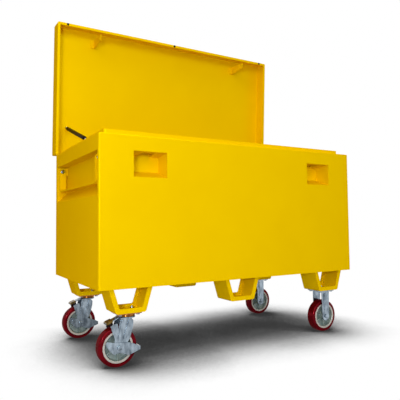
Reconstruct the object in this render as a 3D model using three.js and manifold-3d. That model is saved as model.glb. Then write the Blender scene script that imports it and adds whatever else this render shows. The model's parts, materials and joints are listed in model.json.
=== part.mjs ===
// Steel jobsite storage box on four casters, with its lid held open by two gas struts.
// Millimetres, +Z up, +X to the right, +Y to the back. Every piece is one closed mesh in its own named node.
// The chest is built in its own frame: X from its middle, Y from its front face, Z from its underside.
// At the end the whole box is moved so that the origin lies at the bottom centre of its bounding box.

import * as THREE from 'three';
import { mergeVertices } from 'three/addons/utils/BufferGeometryUtils.js';
import Module from 'manifold-3d';

const wasm = await Module();
wasm.setup();

// Fits
const seat = 0.3; // gap between two pieces that rest on each other
const running = 0.5; // gap beside or round something that turns or slides
const overrun = 6; // how far a cutting shape reaches past what it cuts

// Facets
const boltSides = 12;
const boltHeadSides = 6;
const roundSides = 20;
const wheelSides = 32;
const cornerSteps = 4;

// Chest
const bodyWidth = 1524;
const bodyDepth = 784;
const wallHeight = 682;
const sheet = 2.5;
const bendRadius = 8; // outside radius of a folded edge
const cornerReturn = 10; // how far the front and back panels wrap round onto the ends
const ledgeFront = 46; // width of the ledge that the lid closes onto
const ledgeSide = 38;
const ledgeRear = 32;
const coamingHeight = 25; // upstand round the mouth
const coamingRadius = 12;

// Lock pockets in the front panel
const pocketCentreInset = 244; // from the chest's end to the pocket's middle
const pocketWidth = 166;
const pocketDrop = 71; // from the rim to the top of the opening
const pocketHeight = 119;
const pocketRoom = 10; // behind the strike's tongue
const pocketFloorRise = 35; // the floor slopes up to the back
const pocketCeilingFall = 12; // and the ceiling slopes down to it
const housingHalfWidth = 34; // raised housing in the ceiling, round the strike's tongue
const housingRoom = 24; // in front of the tongue
const housingDrop = 12; // from the rim to the housing's top

// Handle recesses in the ends
const recessFrontMargin = 16; // from the chest's front face
const recessRearMargin = 34; // from its back face
const recessDrop = 75; // from the rim to the top of the opening
const recessHeight = 200;
const recessDepth = 53;
const recessFloorRise = 53; // the floor slopes up to the back plate

// Drop handles
const handleFrontGap = 60; // from the recess's front end to the handle's leg
const handleRearGap = 18;
const handleWidth = 34; // flat bar, across
const handleThickness = 8;
const handleCornerRadius = 24;
const handleSetback = 8; // behind the face of the end panel
const handlePivotDrop = 26; // below the recess's top
const gripRise = 4.5; // underside of the grip above the top of the sloping floor
const lugThickness = 6;
const lugHalfHeight = 20;
const lugSetback = 16;
const pivotBoltRadius = 6;
const pivotHeadRadius = 11;
const pivotHeadHeight = 7;

// Skid legs
const legHeight = 112;
const legTopWidth = 209;
const legBottomWidth = 142;
const legDepth = 126;
const legSetback = 24; // behind the front face, and before the back face
const legEndInset = 157; // from the chest's end to the middle of a corner leg
const legWall = 4;
const legFlange = 22; // frame round the leg's front and back openings
const legCornerRadius = 12; // at the foot

// Lid
const lidInset = 2; // narrower than the chest at each end
const lidFrontInset = 6;
const lidFrontDepth = 90;
const lidRearDepth = 100;
const lidLip = 15; // inward return along the free edge
const lidOpenAngle = THREE.MathUtils.degToRad(87);
const bumperRadius = 6.5;
const bumperHeight = 6;
const bumperEndInset = 60;

// Lock strikes on the lid
const strikeGap = 3; // behind the coaming
const strikeWidth = 38;
const strikeRootWidth = 48;
const strikeDrop = 50; // how far the tongue reaches below the lid's free edge
const strikeBevel = 5;
const strikeShoulder = 42; // from the foot down to where the root is widest
const strikeThickness = 5;
const strikeFootWidth = 44;
const strikeEyeRadius = 7;
const strikeEyeRise = 14; // from the tip of the tongue to its eye
const slotClearance = 8;

// Rear hinge
const hingeBehind = 9.5; // pin behind the back face
const hingeDrop = 3; // pin below the ledge
const hingePinRadius = 3.1;
const hingeKnuckleRadius = 7;
const hingeLeaf = 3;
const hingeLeafHeight = 34;
const hingeEndInset = 30;
const hingeKnuckles = 9;

// Gas struts
const strutInset = 75; // from the chest's end to the strut
const strutFootShare = 0.23342; // of the chest's depth, from its front face to the strut's foot
const strutFootDrop = 39; // below the rim
const strutLidShare = 0.22704; // of the chest's depth, from the pin forward to the lid ball, with the lid closed
const strutLidRise = 65; // lid ball above the pin, with the lid closed
const tubeRadius = 11;
const strutClosedGap = 42; // from the foot's stud to the tube, with the lid closed
const tubeHeadLength = 60; // solid end of the tube
const rodRadius = 5;
const rodInsertion = 40; // rod left in the tube with the lid open
const socketRadius = 9;
const socketLength = 24;
const studRadius = 4;
const strutPlate = 3;
const strutPlateHalfWidth = 26;
const strutPlateHeight = 74;
const strutFootPlateMargin = 16; // plate below the stud
const bracketFootWidth = 34;

// Casters
const casterHeadroom = 60; // from the leg's underside to the top of the wheel
const casterPlateLength = 116;
const casterPlateWidth = 104;
const casterPlate = 6;
const casterBoltInsetX = 16;
const casterBoltInsetY = 14;
const casterBoltRadius = 5;
const casterHeadRadius = 9;
const casterHeadHeight = 6;
const wheelRadius = 90;
const treadGap = 7; // between the tread's side and the fork
const treadShoulder = 5;
const treadThickness = 20;
const rimSetback = 2; // rim behind the tread's side
const rimWall = 9;
const webThickness = 14;
const ribThickness = 6;
const ribSetback = 5; // ribs behind the rim's side
const ribCount = 6;
const hubRadius = 18;
const hubGap = 2; // between the hub and the fork
const axleRadius = 6;
const axleHeadRadius = 11;
const axleHeadHeight = 7;
const forkPlate = 5;
const forkInside = 64; // between the fork's side plates
const swivelForkBoss = 23;
const rigidForkBoss = 25;
const swivelTrail = 48;
const raceRadius = 40;
const raceHeight = 14;
const kingpinRadius = 8;
const kingpinNutRadius = 13;
const kingpinNutHeight = 10;
const crownLeft = 36; // from the swivel axis to the ends of the fork's top
const crownRight = 6;
const rigidForkHalfLength = 28;
const tongueRoot = 42; // the swivel lock's tongue leaves the crown here
const tongueLength = 100; // from the swivel axis to its tip
const tongueDrop = 23; // from the crown's top down to the tip
const tongueHalfWidth = 18;
const pedalArm = 4;
const pedalGap = 4; // between the tread and the pedal
const pedalLip = 5;
const pedalTipTop = 3; // below the axle
const pedalTipBottom = 19;

// Outlines of the swivel fork's side plates and of the brake pedal's arms, drawn from the axle's centre.
// Across, they are shares of the wheel's radius. Upwards, the pedal's are shares of that radius too, and the
// fork's are shares of the height of its top over the axle.
const forkRightShares = [[0.56, 0.27], [0.68, 0.52], [0.74, 0.69], [0.76, 0.88]];
const forkLeftShares = [
  [0.06, 0.85], [-0.02, 0.63], [-0.08, 0.83], [-0.27, 0.8],
  [-0.42, 0.75], [-0.37, 0.6], [-0.29, 0.46], [-0.21, 0.31],
];
const pedalTopShares = [[0.5, 0.22], [0.37, 0.21], [-0.24, 0.27], [-0.6, 0.37], [-0.7, 0.29]];
const pedalUnderShares = [[-0.7, 0.21], [-0.5, -0.08], [-0.28, -0.3], [0.01, -0.23], [0.5, -0.41]];

// Finishes
const finish = (color, roughness, metalness) => new THREE.MeshStandardMaterial({ color, roughness, metalness });
const yellow = finish('#eac302', 0.35, 0);
const zinc = finish('#aab0b4', 0.4, 0.9);
const steel = finish('#8f9296', 0.35, 0.9);
const black = finish('#141414', 0.4, 0.2);
const rubber = finish('#1a1a1a', 0.85, 0);
const red = finish('#6e0a14', 0.35, 0);
const castGrey = finish('#9a9da0', 0.5, 0.7);

// Solids

function solid(geometry) {
  geometry.deleteAttribute('normal');
  geometry.deleteAttribute('uv');
  const merged = mergeVertices(geometry);
  const vertProperties = new Float32Array(merged.attributes.position.array);
  const triVerts = new Uint32Array(merged.index.array);
  return new wasm.Manifold(new wasm.Mesh({ numProp: 3, vertProperties, triVerts }));
}

function join(first, ...others) {
  return others.reduce((whole, other) => whole.add(other), first);
}

function cut(first, ...others) {
  return others.reduce((whole, other) => whole.subtract(other), first);
}

function block([x0, x1], [y0, y1], [z0, z1]) {
  const geometry = new THREE.BoxGeometry(Math.abs(x1 - x0), Math.abs(y1 - y0), Math.abs(z1 - z0));
  return solid(geometry.translate((x0 + x1) / 2, (y0 + y1) / 2, (z0 + z1) / 2));
}

// An outline drawn on the plane across an axis, run along that axis: (y, z) along X, (x, z) along Y, (x, y) along Z.
function prism(axis, outline, [from, to]) {
  const shape = new THREE.Shape(outline.map(([u, v]) => new THREE.Vector2(u, v)));
  const geometry = new THREE.ExtrudeGeometry(shape, { depth: Math.abs(to - from), bevelEnabled: false });
  const unitX = new THREE.Vector3(1, 0, 0);
  const unitY = new THREE.Vector3(0, 1, 0);
  const unitZ = new THREE.Vector3(0, 0, 1);
  const bases = { x: [unitY, unitZ, unitX], y: [unitX, unitZ, unitY.clone().negate()], z: [unitX, unitY, unitZ] };
  geometry.applyMatrix4(new THREE.Matrix4().makeBasis(...bases[axis]));
  const start = axis === 'y' ? Math.max(from, to) : Math.min(from, to);
  geometry.translate(axis === 'x' ? start : 0, axis === 'y' ? start : 0, axis === 'z' ? start : 0);
  return solid(geometry);
}

function rectangle([u0, u1], [v0, v1], radius = 0, steps = cornerSteps) {
  if (radius <= 0) return [[u0, v0], [u1, v0], [u1, v1], [u0, v1]];
  const [left, right, low, high] = [u0 + radius, u1 - radius, v0 + radius, v1 - radius];
  const centres = [[right, high], [left, high], [left, low], [right, low]];
  return centres.flatMap((centre, quarter) => (
    arc(centre, radius, quarter * Math.PI / 2, (quarter + 1) * Math.PI / 2, steps)
  ));
}

function arc([u, v], radius, start, end, steps) {
  return Array.from({ length: steps + 1 }, (_, step) => {
    const angle = start + (end - start) * step / steps;
    return [u + radius * Math.cos(angle), v + radius * Math.sin(angle)];
  });
}

function rod(axis, [x, y, z], radius, [from, to], sides = roundSides) {
  const geometry = new THREE.CylinderGeometry(radius, radius, Math.abs(to - from), sides);
  const middle = (from + to) / 2;
  if (axis === 'x') geometry.rotateZ(Math.PI / 2).translate(middle, y, z);
  if (axis === 'y') geometry.translate(x, middle, z);
  if (axis === 'z') geometry.rotateX(Math.PI / 2).translate(x, y, middle);
  return solid(geometry);
}

// A profile of (radius, place) points turned about the Y axis through (x, z).
// Its facets lie at the radius and one of them faces straight down, so that a wheel stands on a flat.
function turned(profile, [x, z], sides = wheelSides) {
  const halfFacet = Math.PI / sides;
  const points = [...profile, profile[0]].map(([radius, place]) => (
    new THREE.Vector2(radius / Math.cos(halfFacet), place)
  ));
  return solid(new THREE.LatheGeometry(points, sides).rotateY(halfFacet).translate(x, 0, z));
}

function place(group, name, shape, material) {
  const { vertProperties, triVerts } = shape.getMesh();
  const geometry = new THREE.BufferGeometry();
  geometry.setAttribute('position', new THREE.BufferAttribute(new Float32Array(vertProperties), 3));
  geometry.setIndex(new THREE.BufferAttribute(new Uint32Array(triVerts), 1));
  geometry.computeVertexNormals();
  const mesh = new THREE.Mesh(geometry, material);
  mesh.name = name;
  group.add(mesh);
  return mesh;
}

const sides = [['left', -1], ['right', 1]];
const halfWidth = bodyWidth / 2;

// Places that follow from the sizes
const strikeFront = ledgeFront + sheet + strikeGap;
const pocketTop = wallHeight - pocketDrop;
const pocketBottom = pocketTop - pocketHeight;
const pocketDepth = strikeFront + strikeWidth + pocketRoom;
const housingTop = wallHeight - housingDrop;
const recessTop = wallHeight - recessDrop;
const recessBottom = recessTop - recessHeight;
const recessEnds = [recessFrontMargin, bodyDepth - recessRearMargin];
const handleEnds = [recessEnds[0] + handleFrontGap, recessEnds[1] - handleRearGap];
const handlePivotHeight = recessTop - handlePivotDrop;
const gripUnder = recessBottom + recessFloorRise + gripRise;
const axleZ = -casterHeadroom - wheelRadius;

// Chest shell

// A block with rounded upright corners and rounded top edges.
function foldedBlock(inset, top) {
  const radius = bendRadius - inset;
  const across = [-halfWidth + inset, halfWidth - inset];
  const along = [inset, bodyDepth - inset];
  const below = -top;
  const plan = prism('z', rectangle(across, along, radius), [below, top]);
  const front = prism('y', rectangle(across, [below, top], radius), along);
  const end = prism('x', rectangle(along, [below, top], radius), across);
  return plan.intersect(front).intersect(end);
}

function mouthOutline(inset) {
  const across = halfWidth - ledgeSide - inset;
  return rectangle([-across, across], [ledgeFront + inset, bodyDepth - ledgeRear - inset], coamingRadius - inset);
}

function chestShell() {
  const walls = cut(
    foldedBlock(0, wallHeight),
    foldedBlock(sheet, wallHeight - sheet),
    block([-bodyWidth, bodyWidth], [-overrun, bodyDepth + overrun], [-wallHeight - overrun, 0]),
  );
  const coaming = prism('z', mouthOutline(0), [wallHeight - sheet, wallHeight + coamingHeight]);
  const mouth = prism('z', mouthOutline(sheet), [wallHeight - bendRadius, wallHeight + coamingHeight + overrun]);
  const pockets = sides.map(([, side]) => (
    block(pocketAcross(side, 0), [-overrun, overrun], [pocketBottom, pocketTop])
  ));
  const recesses = sides.map(([, side]) => block(
    [side * (halfWidth + overrun), side * (halfWidth - overrun)],
    recessEnds,
    [recessBottom, recessTop],
  ));
  return cut(join(walls, coaming), mouth, ...pockets, ...recesses);
}

// Plan of the part of the shell that belongs to the front panel, or mirrored to the back panel.
function panelPlan(ledge, toBack) {
  const mitre = coamingRadius + sheet;
  const outer = halfWidth + overrun;
  const wall = halfWidth - sheet - sheet;
  const inner = halfWidth - ledgeSide - mitre;
  const half = [[outer, -overrun], [outer, cornerReturn], [wall, cornerReturn], [inner, ledge + mitre]];
  const outline = [...half, ...half.map(([x, y]) => [-x, y]).reverse()];
  return toBack ? outline.map(([x, y]) => [x, bodyDepth - y]).reverse() : outline;
}

function endPlan(side) {
  const mitre = coamingRadius + sheet;
  const outer = halfWidth + overrun;
  const wall = halfWidth - sheet - sheet;
  const inner = halfWidth - ledgeSide - mitre;
  const back = bodyDepth - seat;
  const outline = [
    [outer, cornerReturn + seat], [outer, back - cornerReturn], [wall, back - cornerReturn],
    [inner, back - ledgeRear - mitre], [inner, ledgeFront + mitre + seat], [wall, cornerReturn + seat],
  ];
  return side > 0 ? outline : outline.map(([x, y]) => [-x, y]).reverse();
}

function buildChest(chest) {
  const shell = chestShell();
  const height = [-overrun, wallHeight + coamingHeight + overrun];
  place(chest, 'front_panel', shell.intersect(prism('z', panelPlan(ledgeFront, false), height)), yellow);
  place(chest, 'back_panel', shell.intersect(prism('z', panelPlan(ledgeRear, true), height)), yellow);
  for (const [name, side] of sides) {
    place(chest, `${name}_end_panel`, shell.intersect(prism('z', endPlan(side), height)), yellow);
  }
  const edge = sheet + seat;
  const plan = rectangle([-halfWidth + edge, halfWidth - edge], [edge, bodyDepth - edge], bendRadius - edge);
  const floor = prism('z', plan, [0, sheet]);
  place(chest, 'floor_panel', floor, yellow);
}

// Lock pockets

function pocketAcross(side, grow) {
  const centre = side * (halfWidth - pocketCentreInset);
  return [centre - pocketWidth / 2 - grow, centre + pocketWidth / 2 + grow];
}

function buildPocket(chest, name, side) {
  const centre = side * (halfWidth - pocketCentreInset);
  const around = (half) => [centre - half, centre + half];
  const ceilingBack = pocketTop - pocketCeilingFall;
  const cavity = (grow, mouth) => join(
    prism('x', [
      [mouth, pocketBottom - grow], [pocketDepth + grow, pocketBottom + pocketFloorRise - grow],
      [pocketDepth + grow, ceilingBack + grow], [mouth, pocketTop + grow],
    ], pocketAcross(side, grow)),
    block(
      around(housingHalfWidth + grow),
      [strikeFront - housingRoom - grow, pocketDepth + grow],
      [ceilingBack - overrun, housingTop + grow],
    ),
  );
  const slot = block(
    around(strikeThickness / 2 + slotClearance),
    [strikeFront - slotClearance / 2, strikeFront + strikeWidth + slotClearance / 2],
    [housingTop - overrun, housingTop + overrun],
  );
  place(chest, `${name}_lock_pocket`, cut(cavity(sheet, sheet + seat), cavity(0, 0), slot), yellow);
}

// Handle recesses, drop handles and their pivot bolts

const handleMiddle = (handleEnds[0] + handleEnds[1]) / 2;
const handleHalfSpan = (handleEnds[1] - handleEnds[0]) / 2;
const handlePivotInset = handleSetback + handleWidth / 2;

function buildRecess(chest, name, side) {
  const at = (inset) => side * (halfWidth - inset);
  const cavity = (grow, mouth) => prism('y', [
    [at(mouth), recessBottom - grow], [at(recessDepth + grow), recessBottom + recessFloorRise - grow],
    [at(recessDepth + grow), recessTop + grow], [at(mouth), recessTop + grow],
  ], [recessEnds[0] - grow, recessEnds[1] + grow]);
  const lugs = [];
  const holes = [];
  for (const end of [-1, 1]) {
    const near = handleMiddle + end * (handleHalfSpan + running);
    const far = near + end * lugThickness;
    const height = [handlePivotHeight - lugHalfHeight, handlePivotHeight + lugHalfHeight];
    lugs.push(block([at(lugSetback), at(recessDepth + sheet)], [near, far], height));
    const reach = [near - end * overrun, far + end * overrun];
    holes.push(rod('y', [at(handlePivotInset), 0, handlePivotHeight], pivotBoltRadius + seat, reach, boltSides));
  }
  const pan = cut(cavity(sheet, sheet + seat), cavity(0, 0));
  place(chest, `${name}_handle_recess`, cut(join(pan, ...lugs), ...holes), yellow);
}

function buildHandle(chest, name, side) {
  const across = [side * (halfWidth - handleSetback), side * (halfWidth - handleSetback - handleWidth)];
  const half = handleHalfSpan;
  const outline = (inset) => rectangle(
    [handleMiddle - half + inset, handleMiddle + half - inset],
    [gripUnder + inset, handlePivotHeight + handleCornerRadius],
    handleCornerRadius - inset,
  );
  const bar = cut(
    prism('x', outline(0), across),
    prism('x', outline(handleThickness), across),
    block([-bodyWidth, bodyWidth], [0, bodyDepth], [handlePivotHeight, handlePivotHeight + bodyDepth]),
  );
  const pivot = [side * (halfWidth - handlePivotInset), 0, handlePivotHeight];
  const eyes = [-1, 1].map((end) => {
    const leg = [handleMiddle + end * half, handleMiddle + end * (half - handleThickness)];
    return rod('y', pivot, handleWidth / 2, leg);
  });
  const reach = [handleMiddle - half - overrun, handleMiddle + half + overrun];
  const hole = rod('y', pivot, pivotBoltRadius + running, reach, boltSides);
  place(chest, `${name}_drop_handle`, cut(join(bar, ...eyes), hole), yellow);
  for (const [endName, end] of [['front', -1], ['rear', 1]]) {
    const leg = handleMiddle + end * (half - handleThickness - running);
    const outside = handleMiddle + end * (half + running + lugThickness + seat);
    const head = [leg, leg - end * pivotHeadHeight];
    const nut = [outside, outside + end * pivotHeadHeight];
    const bolt = join(
      rod('y', pivot, pivotBoltRadius, [head[1], nut[1]], boltSides),
      rod('y', pivot, pivotHeadRadius, head, boltHeadSides),
      rod('y', pivot, pivotHeadRadius, nut, boltHeadSides),
    );
    place(chest, `${name}_handle_${endName}_bolt`, bolt, zinc);
  }
}

// Skid legs

function legHalfWidth(depth, inset) {
  const topHalf = legTopWidth / 2;
  const bottomHalf = legBottomWidth / 2;
  const slant = Math.hypot(topHalf - bottomHalf, legHeight) / legHeight;
  return topHalf - (topHalf - bottomHalf) * depth / legHeight - inset * slant;
}

// An arc in place of an outline's corner, tangent to both of its edges.
function roundedCorner(before, corner, after, radius) {
  const point = new THREE.Vector2(...corner);
  const back = new THREE.Vector2(...before).sub(point).normalize();
  const onward = new THREE.Vector2(...after).sub(point).normalize();
  const half = Math.acos(back.dot(onward)) / 2;
  const centre = back.clone().add(onward).setLength(radius / Math.sin(half)).add(point);
  const reach = radius / Math.tan(half);
  const start = back.multiplyScalar(reach).add(point).sub(centre).angle();
  const end = onward.multiplyScalar(reach).add(point).sub(centre).angle();
  const turn = THREE.MathUtils.euclideanModulo(end - start, 2 * Math.PI);
  return arc([centre.x, centre.y], radius, start, start + turn, cornerSteps);
}

function legOutline(centre, inset, top) {
  const low = legHeight - inset;
  const upper = legHalfWidth(-top, inset);
  const lower = legHalfWidth(low, inset);
  const [left, right] = [[centre - lower, -low], [centre + lower, -low]];
  const [topRight, topLeft] = [[centre + upper, top], [centre - upper, top]];
  const radius = legCornerRadius - Math.min(inset, legWall);
  const foot = [...roundedCorner(topLeft, left, right, radius), ...roundedCorner(left, right, topRight, radius)];
  return [...foot, topRight, topLeft];
}

function casterBoltPlaces([x, y]) {
  const alongX = casterPlateLength / 2 - casterBoltInsetX;
  const alongY = casterPlateWidth / 2 - casterBoltInsetY;
  return [[-1, -1], [1, -1], [1, 1], [-1, 1]].map(([sx, sy]) => [x + sx * alongX, y + sy * alongY]);
}

function legCentreY(rear) {
  const fromFace = legSetback + legDepth / 2;
  return rear ? bodyDepth - fromFace : fromFace;
}

function buildLeg(chest, name, x, rear, drilled) {
  const y = legCentreY(rear);
  const reach = (grow) => [y - legDepth / 2 - grow, y + legDepth / 2 + grow];
  const holes = !drilled ? [] : casterBoltPlaces([x, y]).map(([boltX, boltY]) => (
    rod('z', [boltX, boltY, 0], casterBoltRadius + running, [-legHeight - overrun, -legHeight + overrun], boltSides)
  ));
  const leg = cut(
    prism('y', legOutline(x, 0, -seat), reach(0)),
    prism('y', legOutline(x, legWall, overrun), reach(-legWall)),
    prism('y', legOutline(x, legFlange, overrun), reach(overrun)),
    ...holes,
  );
  place(chest, name, leg, yellow);
}

function buildLegs(chest) {
  const corner = halfWidth - legEndInset;
  for (const [endName, rear] of [['front', false], ['rear', true]]) {
    buildLeg(chest, `${endName}_left_leg`, -corner, rear, true);
    buildLeg(chest, `${endName}_middle_leg`, 0, rear, false);
    buildLeg(chest, `${endName}_right_leg`, corner, rear, true);
  }
}

// Lid, drawn closed. It stands on its bumpers a little above the ledge.

const lidBase = wallHeight + bumperHeight + seat;
const lidHalfWidth = halfWidth - lidInset;

function lidTop(y) {
  const along = (y - lidFrontInset) / (bodyDepth - lidFrontInset);
  return lidBase + lidFrontDepth + (lidRearDepth - lidFrontDepth) * along;
}

function lidBlock(inset) {
  const radius = bendRadius - inset;
  const across = [-lidHalfWidth + inset, lidHalfWidth - inset];
  const along = [lidFrontInset + inset, bodyDepth - inset];
  const below = lidBase - lidRearDepth;
  const topOutline = [
    [along[0], below], [along[1], below], [along[1], lidTop(along[1]) - inset],
    [along[0] + radius, lidTop(along[0]) - inset], [along[0], lidTop(along[0]) - inset - radius],
  ];
  const plan = prism('z', rectangle(across, along, radius), [below, lidBase + 2 * lidRearDepth]);
  const end = prism('x', topOutline, across);
  const front = prism('y', rectangle(across, [below, lidBase + lidRearDepth - inset], radius), along);
  return plan.intersect(end).intersect(front);
}

function buildLid(lid) {
  const lip = lidHalfWidth - lidLip;
  const below = block([-bodyWidth, bodyWidth], [-overrun, bodyDepth + overrun], [0, lidBase]);
  const hollow = cut(lidBlock(sheet), block([-bodyWidth, bodyWidth], [-overrun, bodyDepth], [0, lidBase + sheet]));
  const mouth = block([-lip, lip], [lidFrontInset + lidLip, bodyDepth - sheet], [0, lidBase + lidFrontDepth / 2]);
  place(lid, 'lid_shell', cut(lidBlock(0), below, hollow, mouth), yellow);

  const bumperY = lidFrontInset + lidLip / 2;
  const bumperX = halfWidth - bumperEndInset;
  for (const [name, x] of [['left', -bumperX], ['middle', 0], ['right', bumperX]]) {
    const bumper = rod('z', [x, bumperY, 0], bumperRadius, [lidBase - bumperHeight, lidBase - seat], roundSides);
    place(lid, `${name}_lid_bumper`, bumper, rubber);
  }
}

function buildStrike(lid, name, side) {
  const x = side * (halfWidth - pocketCentreInset);
  const tip = lidBase - strikeDrop;
  const back = strikeFront + strikeWidth;
  const rootBack = strikeFront + strikeRootWidth;
  const top = lidTop(strikeFront) - sheet - seat;
  const outline = [
    [strikeFront, tip + strikeBevel], [strikeFront + strikeBevel, tip], [back - strikeBevel, tip],
    [back, tip + strikeBevel], [back, lidBase], [rootBack, top - strikeShoulder], [rootBack, top], [strikeFront, top],
  ];
  const plate = [x - strikeThickness / 2, x + strikeThickness / 2];
  const foot = [x - strikeFootWidth / 2, x + strikeFootWidth / 2];
  const strike = join(prism('x', outline, plate), block(foot, [strikeFront, rootBack], [top - strikeThickness, top]));
  const eye = rod(
    'x', [0, strikeFront + strikeWidth / 2, tip + strikeEyeRise], strikeEyeRadius,
    [plate[0] - overrun, plate[1] + overrun], roundSides,
  );
  place(lid, `${name}_lock_strike`, cut(strike, eye), yellow);
}

// Rear hinge: two leaves with alternate knuckles on one long pin.

const hingeY = bodyDepth + hingeBehind;
const hingeZ = wallHeight - hingeDrop;

function hingeLeafShape(isLid) {
  const half = halfWidth - hingeEndInset;
  const pitch = 2 * half / hingeKnuckles;
  const clear = hingeKnuckleRadius + running;
  const face = [bodyDepth + seat, bodyDepth + seat + hingeLeaf];
  const toward = isLid ? 1 : -1;
  const near = hingeZ + toward * clear;
  const strip = block([-half, half], face, [near, near + toward * hingeLeafHeight]);
  const knuckles = [];
  for (let index = isLid ? 1 : 0; index < hingeKnuckles; index += 2) {
    const along = [-half + index * pitch + running / 2, -half + (index + 1) * pitch - running / 2];
    knuckles.push(block(along, face, [hingeZ, near + toward * hingeLeaf]));
    knuckles.push(rod('x', [0, hingeY, hingeZ], hingeKnuckleRadius, along, boltSides));
  }
  const bore = rod('x', [0, hingeY, hingeZ], hingePinRadius + seat, [-halfWidth, halfWidth], boltSides);
  return cut(join(strip, ...knuckles), bore);
}

function buildHinge(chest, lid) {
  const half = halfWidth - hingeEndInset;
  place(chest, 'hinge_body_leaf', hingeLeafShape(false), yellow);
  place(lid, 'hinge_lid_leaf', hingeLeafShape(true), yellow);
  const pin = rod('x', [0, hingeY, hingeZ], hingePinRadius, [-half - hingeLeaf, half + hingeLeaf], boltSides);
  place(chest, 'hinge_pin', pin, steel);
}

// Gas struts. Their length and slope follow from where the lid ball comes to with the lid open.

const strutFoot = new THREE.Vector2(strutFootShare * bodyDepth, wallHeight - strutFootDrop);
const hingePin = new THREE.Vector2(hingeY, hingeZ);

function lidBall(openAngle) {
  const closed = new THREE.Vector2(-strutLidShare * bodyDepth, strutLidRise);
  return closed.rotateAround(new THREE.Vector2(), -openAngle).add(hingePin);
}

const strutRun = lidBall(lidOpenAngle).sub(strutFoot);
const strutLength = strutRun.length();
const strutSlope = strutRun.angle();
const tubeLength = lidBall(0).sub(strutFoot).length() - socketLength / 2 - strutClosedGap;

function buildStrut(chest, lid, name, side) {
  const x = side * (halfWidth - strutInset);
  const strut = new THREE.Group();
  strut.position.set(x, strutFoot.x, strutFoot.y);
  strut.rotation.x = strutSlope;
  chest.add(strut);

  const tubeEnd = strutLength - socketLength / 2;
  const tubeStart = tubeEnd - tubeLength;
  const rodEnd = tubeStart + rodInsertion;
  const half = socketLength / 2;
  const rodPiece = cut(
    join(
      rod('y', [0, 0, 0], rodRadius, [0, rodEnd], roundSides),
      rod('y', [0, 0, 0], socketRadius, [-half, half], roundSides),
    ),
    rod('x', [0, 0, 0], studRadius + seat, [-overrun - socketRadius, overrun + socketRadius], boltSides),
  );
  place(strut, `${name}_strut_rod`, rodPiece, steel);
  const tube = cut(
    join(
      rod('y', [0, 0, 0], tubeRadius, [tubeStart, tubeEnd - half], roundSides),
      rod('y', [0, 0, 0], socketRadius, [tubeEnd - half - seat, strutLength + half], roundSides),
    ),
    rod('y', [0, 0, 0], rodRadius + running, [tubeStart - overrun, tubeEnd - tubeHeadLength], roundSides),
  );
  place(strut, `${name}_strut_tube`, tube, black);

  // The foot plate stands against the inside of the coaming and carries a stud through the rod's socket.
  const coamingInside = halfWidth - ledgeSide - sheet - seat;
  const studEnd = x - side * (socketRadius + seat);
  const plateTop = strutFoot.y - strutFootPlateMargin + strutPlateHeight;
  const stud = [side * (coamingInside - strutPlate / 2), studEnd];
  const footPlate = join(
    block(
      [side * coamingInside, side * (coamingInside - strutPlate)],
      [strutFoot.x - strutPlateHalfWidth, strutFoot.x + strutPlateHalfWidth],
      [strutFoot.y - strutFootPlateMargin, plateTop],
    ),
    rod('x', [0, strutFoot.x, strutFoot.y], studRadius, stud, boltSides),
  );
  place(chest, `${name}_strut_foot_plate`, footPlate, zinc);

  // The lid bracket hangs from the lid panel on the strut's inner side. Its stud stops at the tube's socket.
  const ball = lidBall(0);
  const webOuter = x - side * (socketRadius + running + strutPlate);
  const ceiling = lidTop(ball.x - strutPlateHalfWidth) - sheet - seat;
  const lidStud = [webOuter - side * strutPlate / 2, x - side * (socketRadius + running)];
  const bracket = join(
    block(
      [webOuter, webOuter - side * strutPlate],
      [ball.x - strutPlateHalfWidth / 2, ball.x + strutPlateHalfWidth / 2],
      [ball.y - socketRadius, ceiling],
    ),
    block(
      [webOuter, webOuter - side * bracketFootWidth],
      [ball.x - strutPlateHalfWidth, ball.x + strutPlateHalfWidth],
      [ceiling - strutPlate, ceiling],
    ),
    rod('x', [0, ball.x, ball.y], studRadius, lidStud, boltSides),
  );
  place(lid, `${name}_strut_lid_bracket`, bracket, zinc);
}

// Casters, each drawn in a frame with its origin on the underside of its leg.

function boltThroughLeg([x, y]) {
  const below = -seat - casterPlate;
  const above = legWall + seat;
  const centre = [x, y, 0];
  return [
    rod('z', centre, casterBoltRadius, [below - casterHeadHeight, above + casterHeadHeight], boltSides),
    rod('z', centre, casterHeadRadius, [below - casterHeadHeight, below], boltHeadSides),
    rod('z', centre, casterHeadRadius, [above, above + casterHeadHeight], boltHeadSides),
  ];
}

function casterTopPlate() {
  const across = [-casterPlateLength / 2, casterPlateLength / 2];
  const along = [-casterPlateWidth / 2, casterPlateWidth / 2];
  const plate = prism('z', rectangle(across, along, bendRadius), [-seat - casterPlate, -seat]);
  return join(plate, ...casterBoltPlaces([0, 0]).flatMap(boltThroughLeg));
}

// Side plates of a fork, cut to an outline given from the axle's centre.
function forkSides(outline, axleX) {
  const placed = outline.map(([u, v]) => [axleX + u, axleZ + v]);
  return [-1, 1].map((end) => {
    const faces = [end * forkInside / 2, end * (forkInside / 2 + forkPlate)];
    const reach = [faces[0] - end * overrun, faces[1] + end * overrun];
    return cut(prism('y', placed, faces), rod('y', [axleX, 0, axleZ], axleRadius + seat, reach, boltSides));
  });
}

const rimRadius = wheelRadius - treadThickness;
const treadHalf = forkInside / 2 - treadGap;

// Ribs between the hub and the rim, standing on both sides of the web.
function wheelRibs(axleX) {
  const run = [hubRadius - rimWall, rimRadius - rimWall / 2];
  const ribWidth = 2 * (treadHalf - rimSetback - ribSetback);
  return Array.from({ length: ribCount }, (_, index) => {
    const rib = new THREE.BoxGeometry(run[1] - run[0], ribWidth, ribThickness).translate((run[0] + run[1]) / 2, 0, 0);
    return solid(rib.rotateY(2 * Math.PI * (index + 0.5) / ribCount).translate(axleX, 0, axleZ));
  });
}

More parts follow.
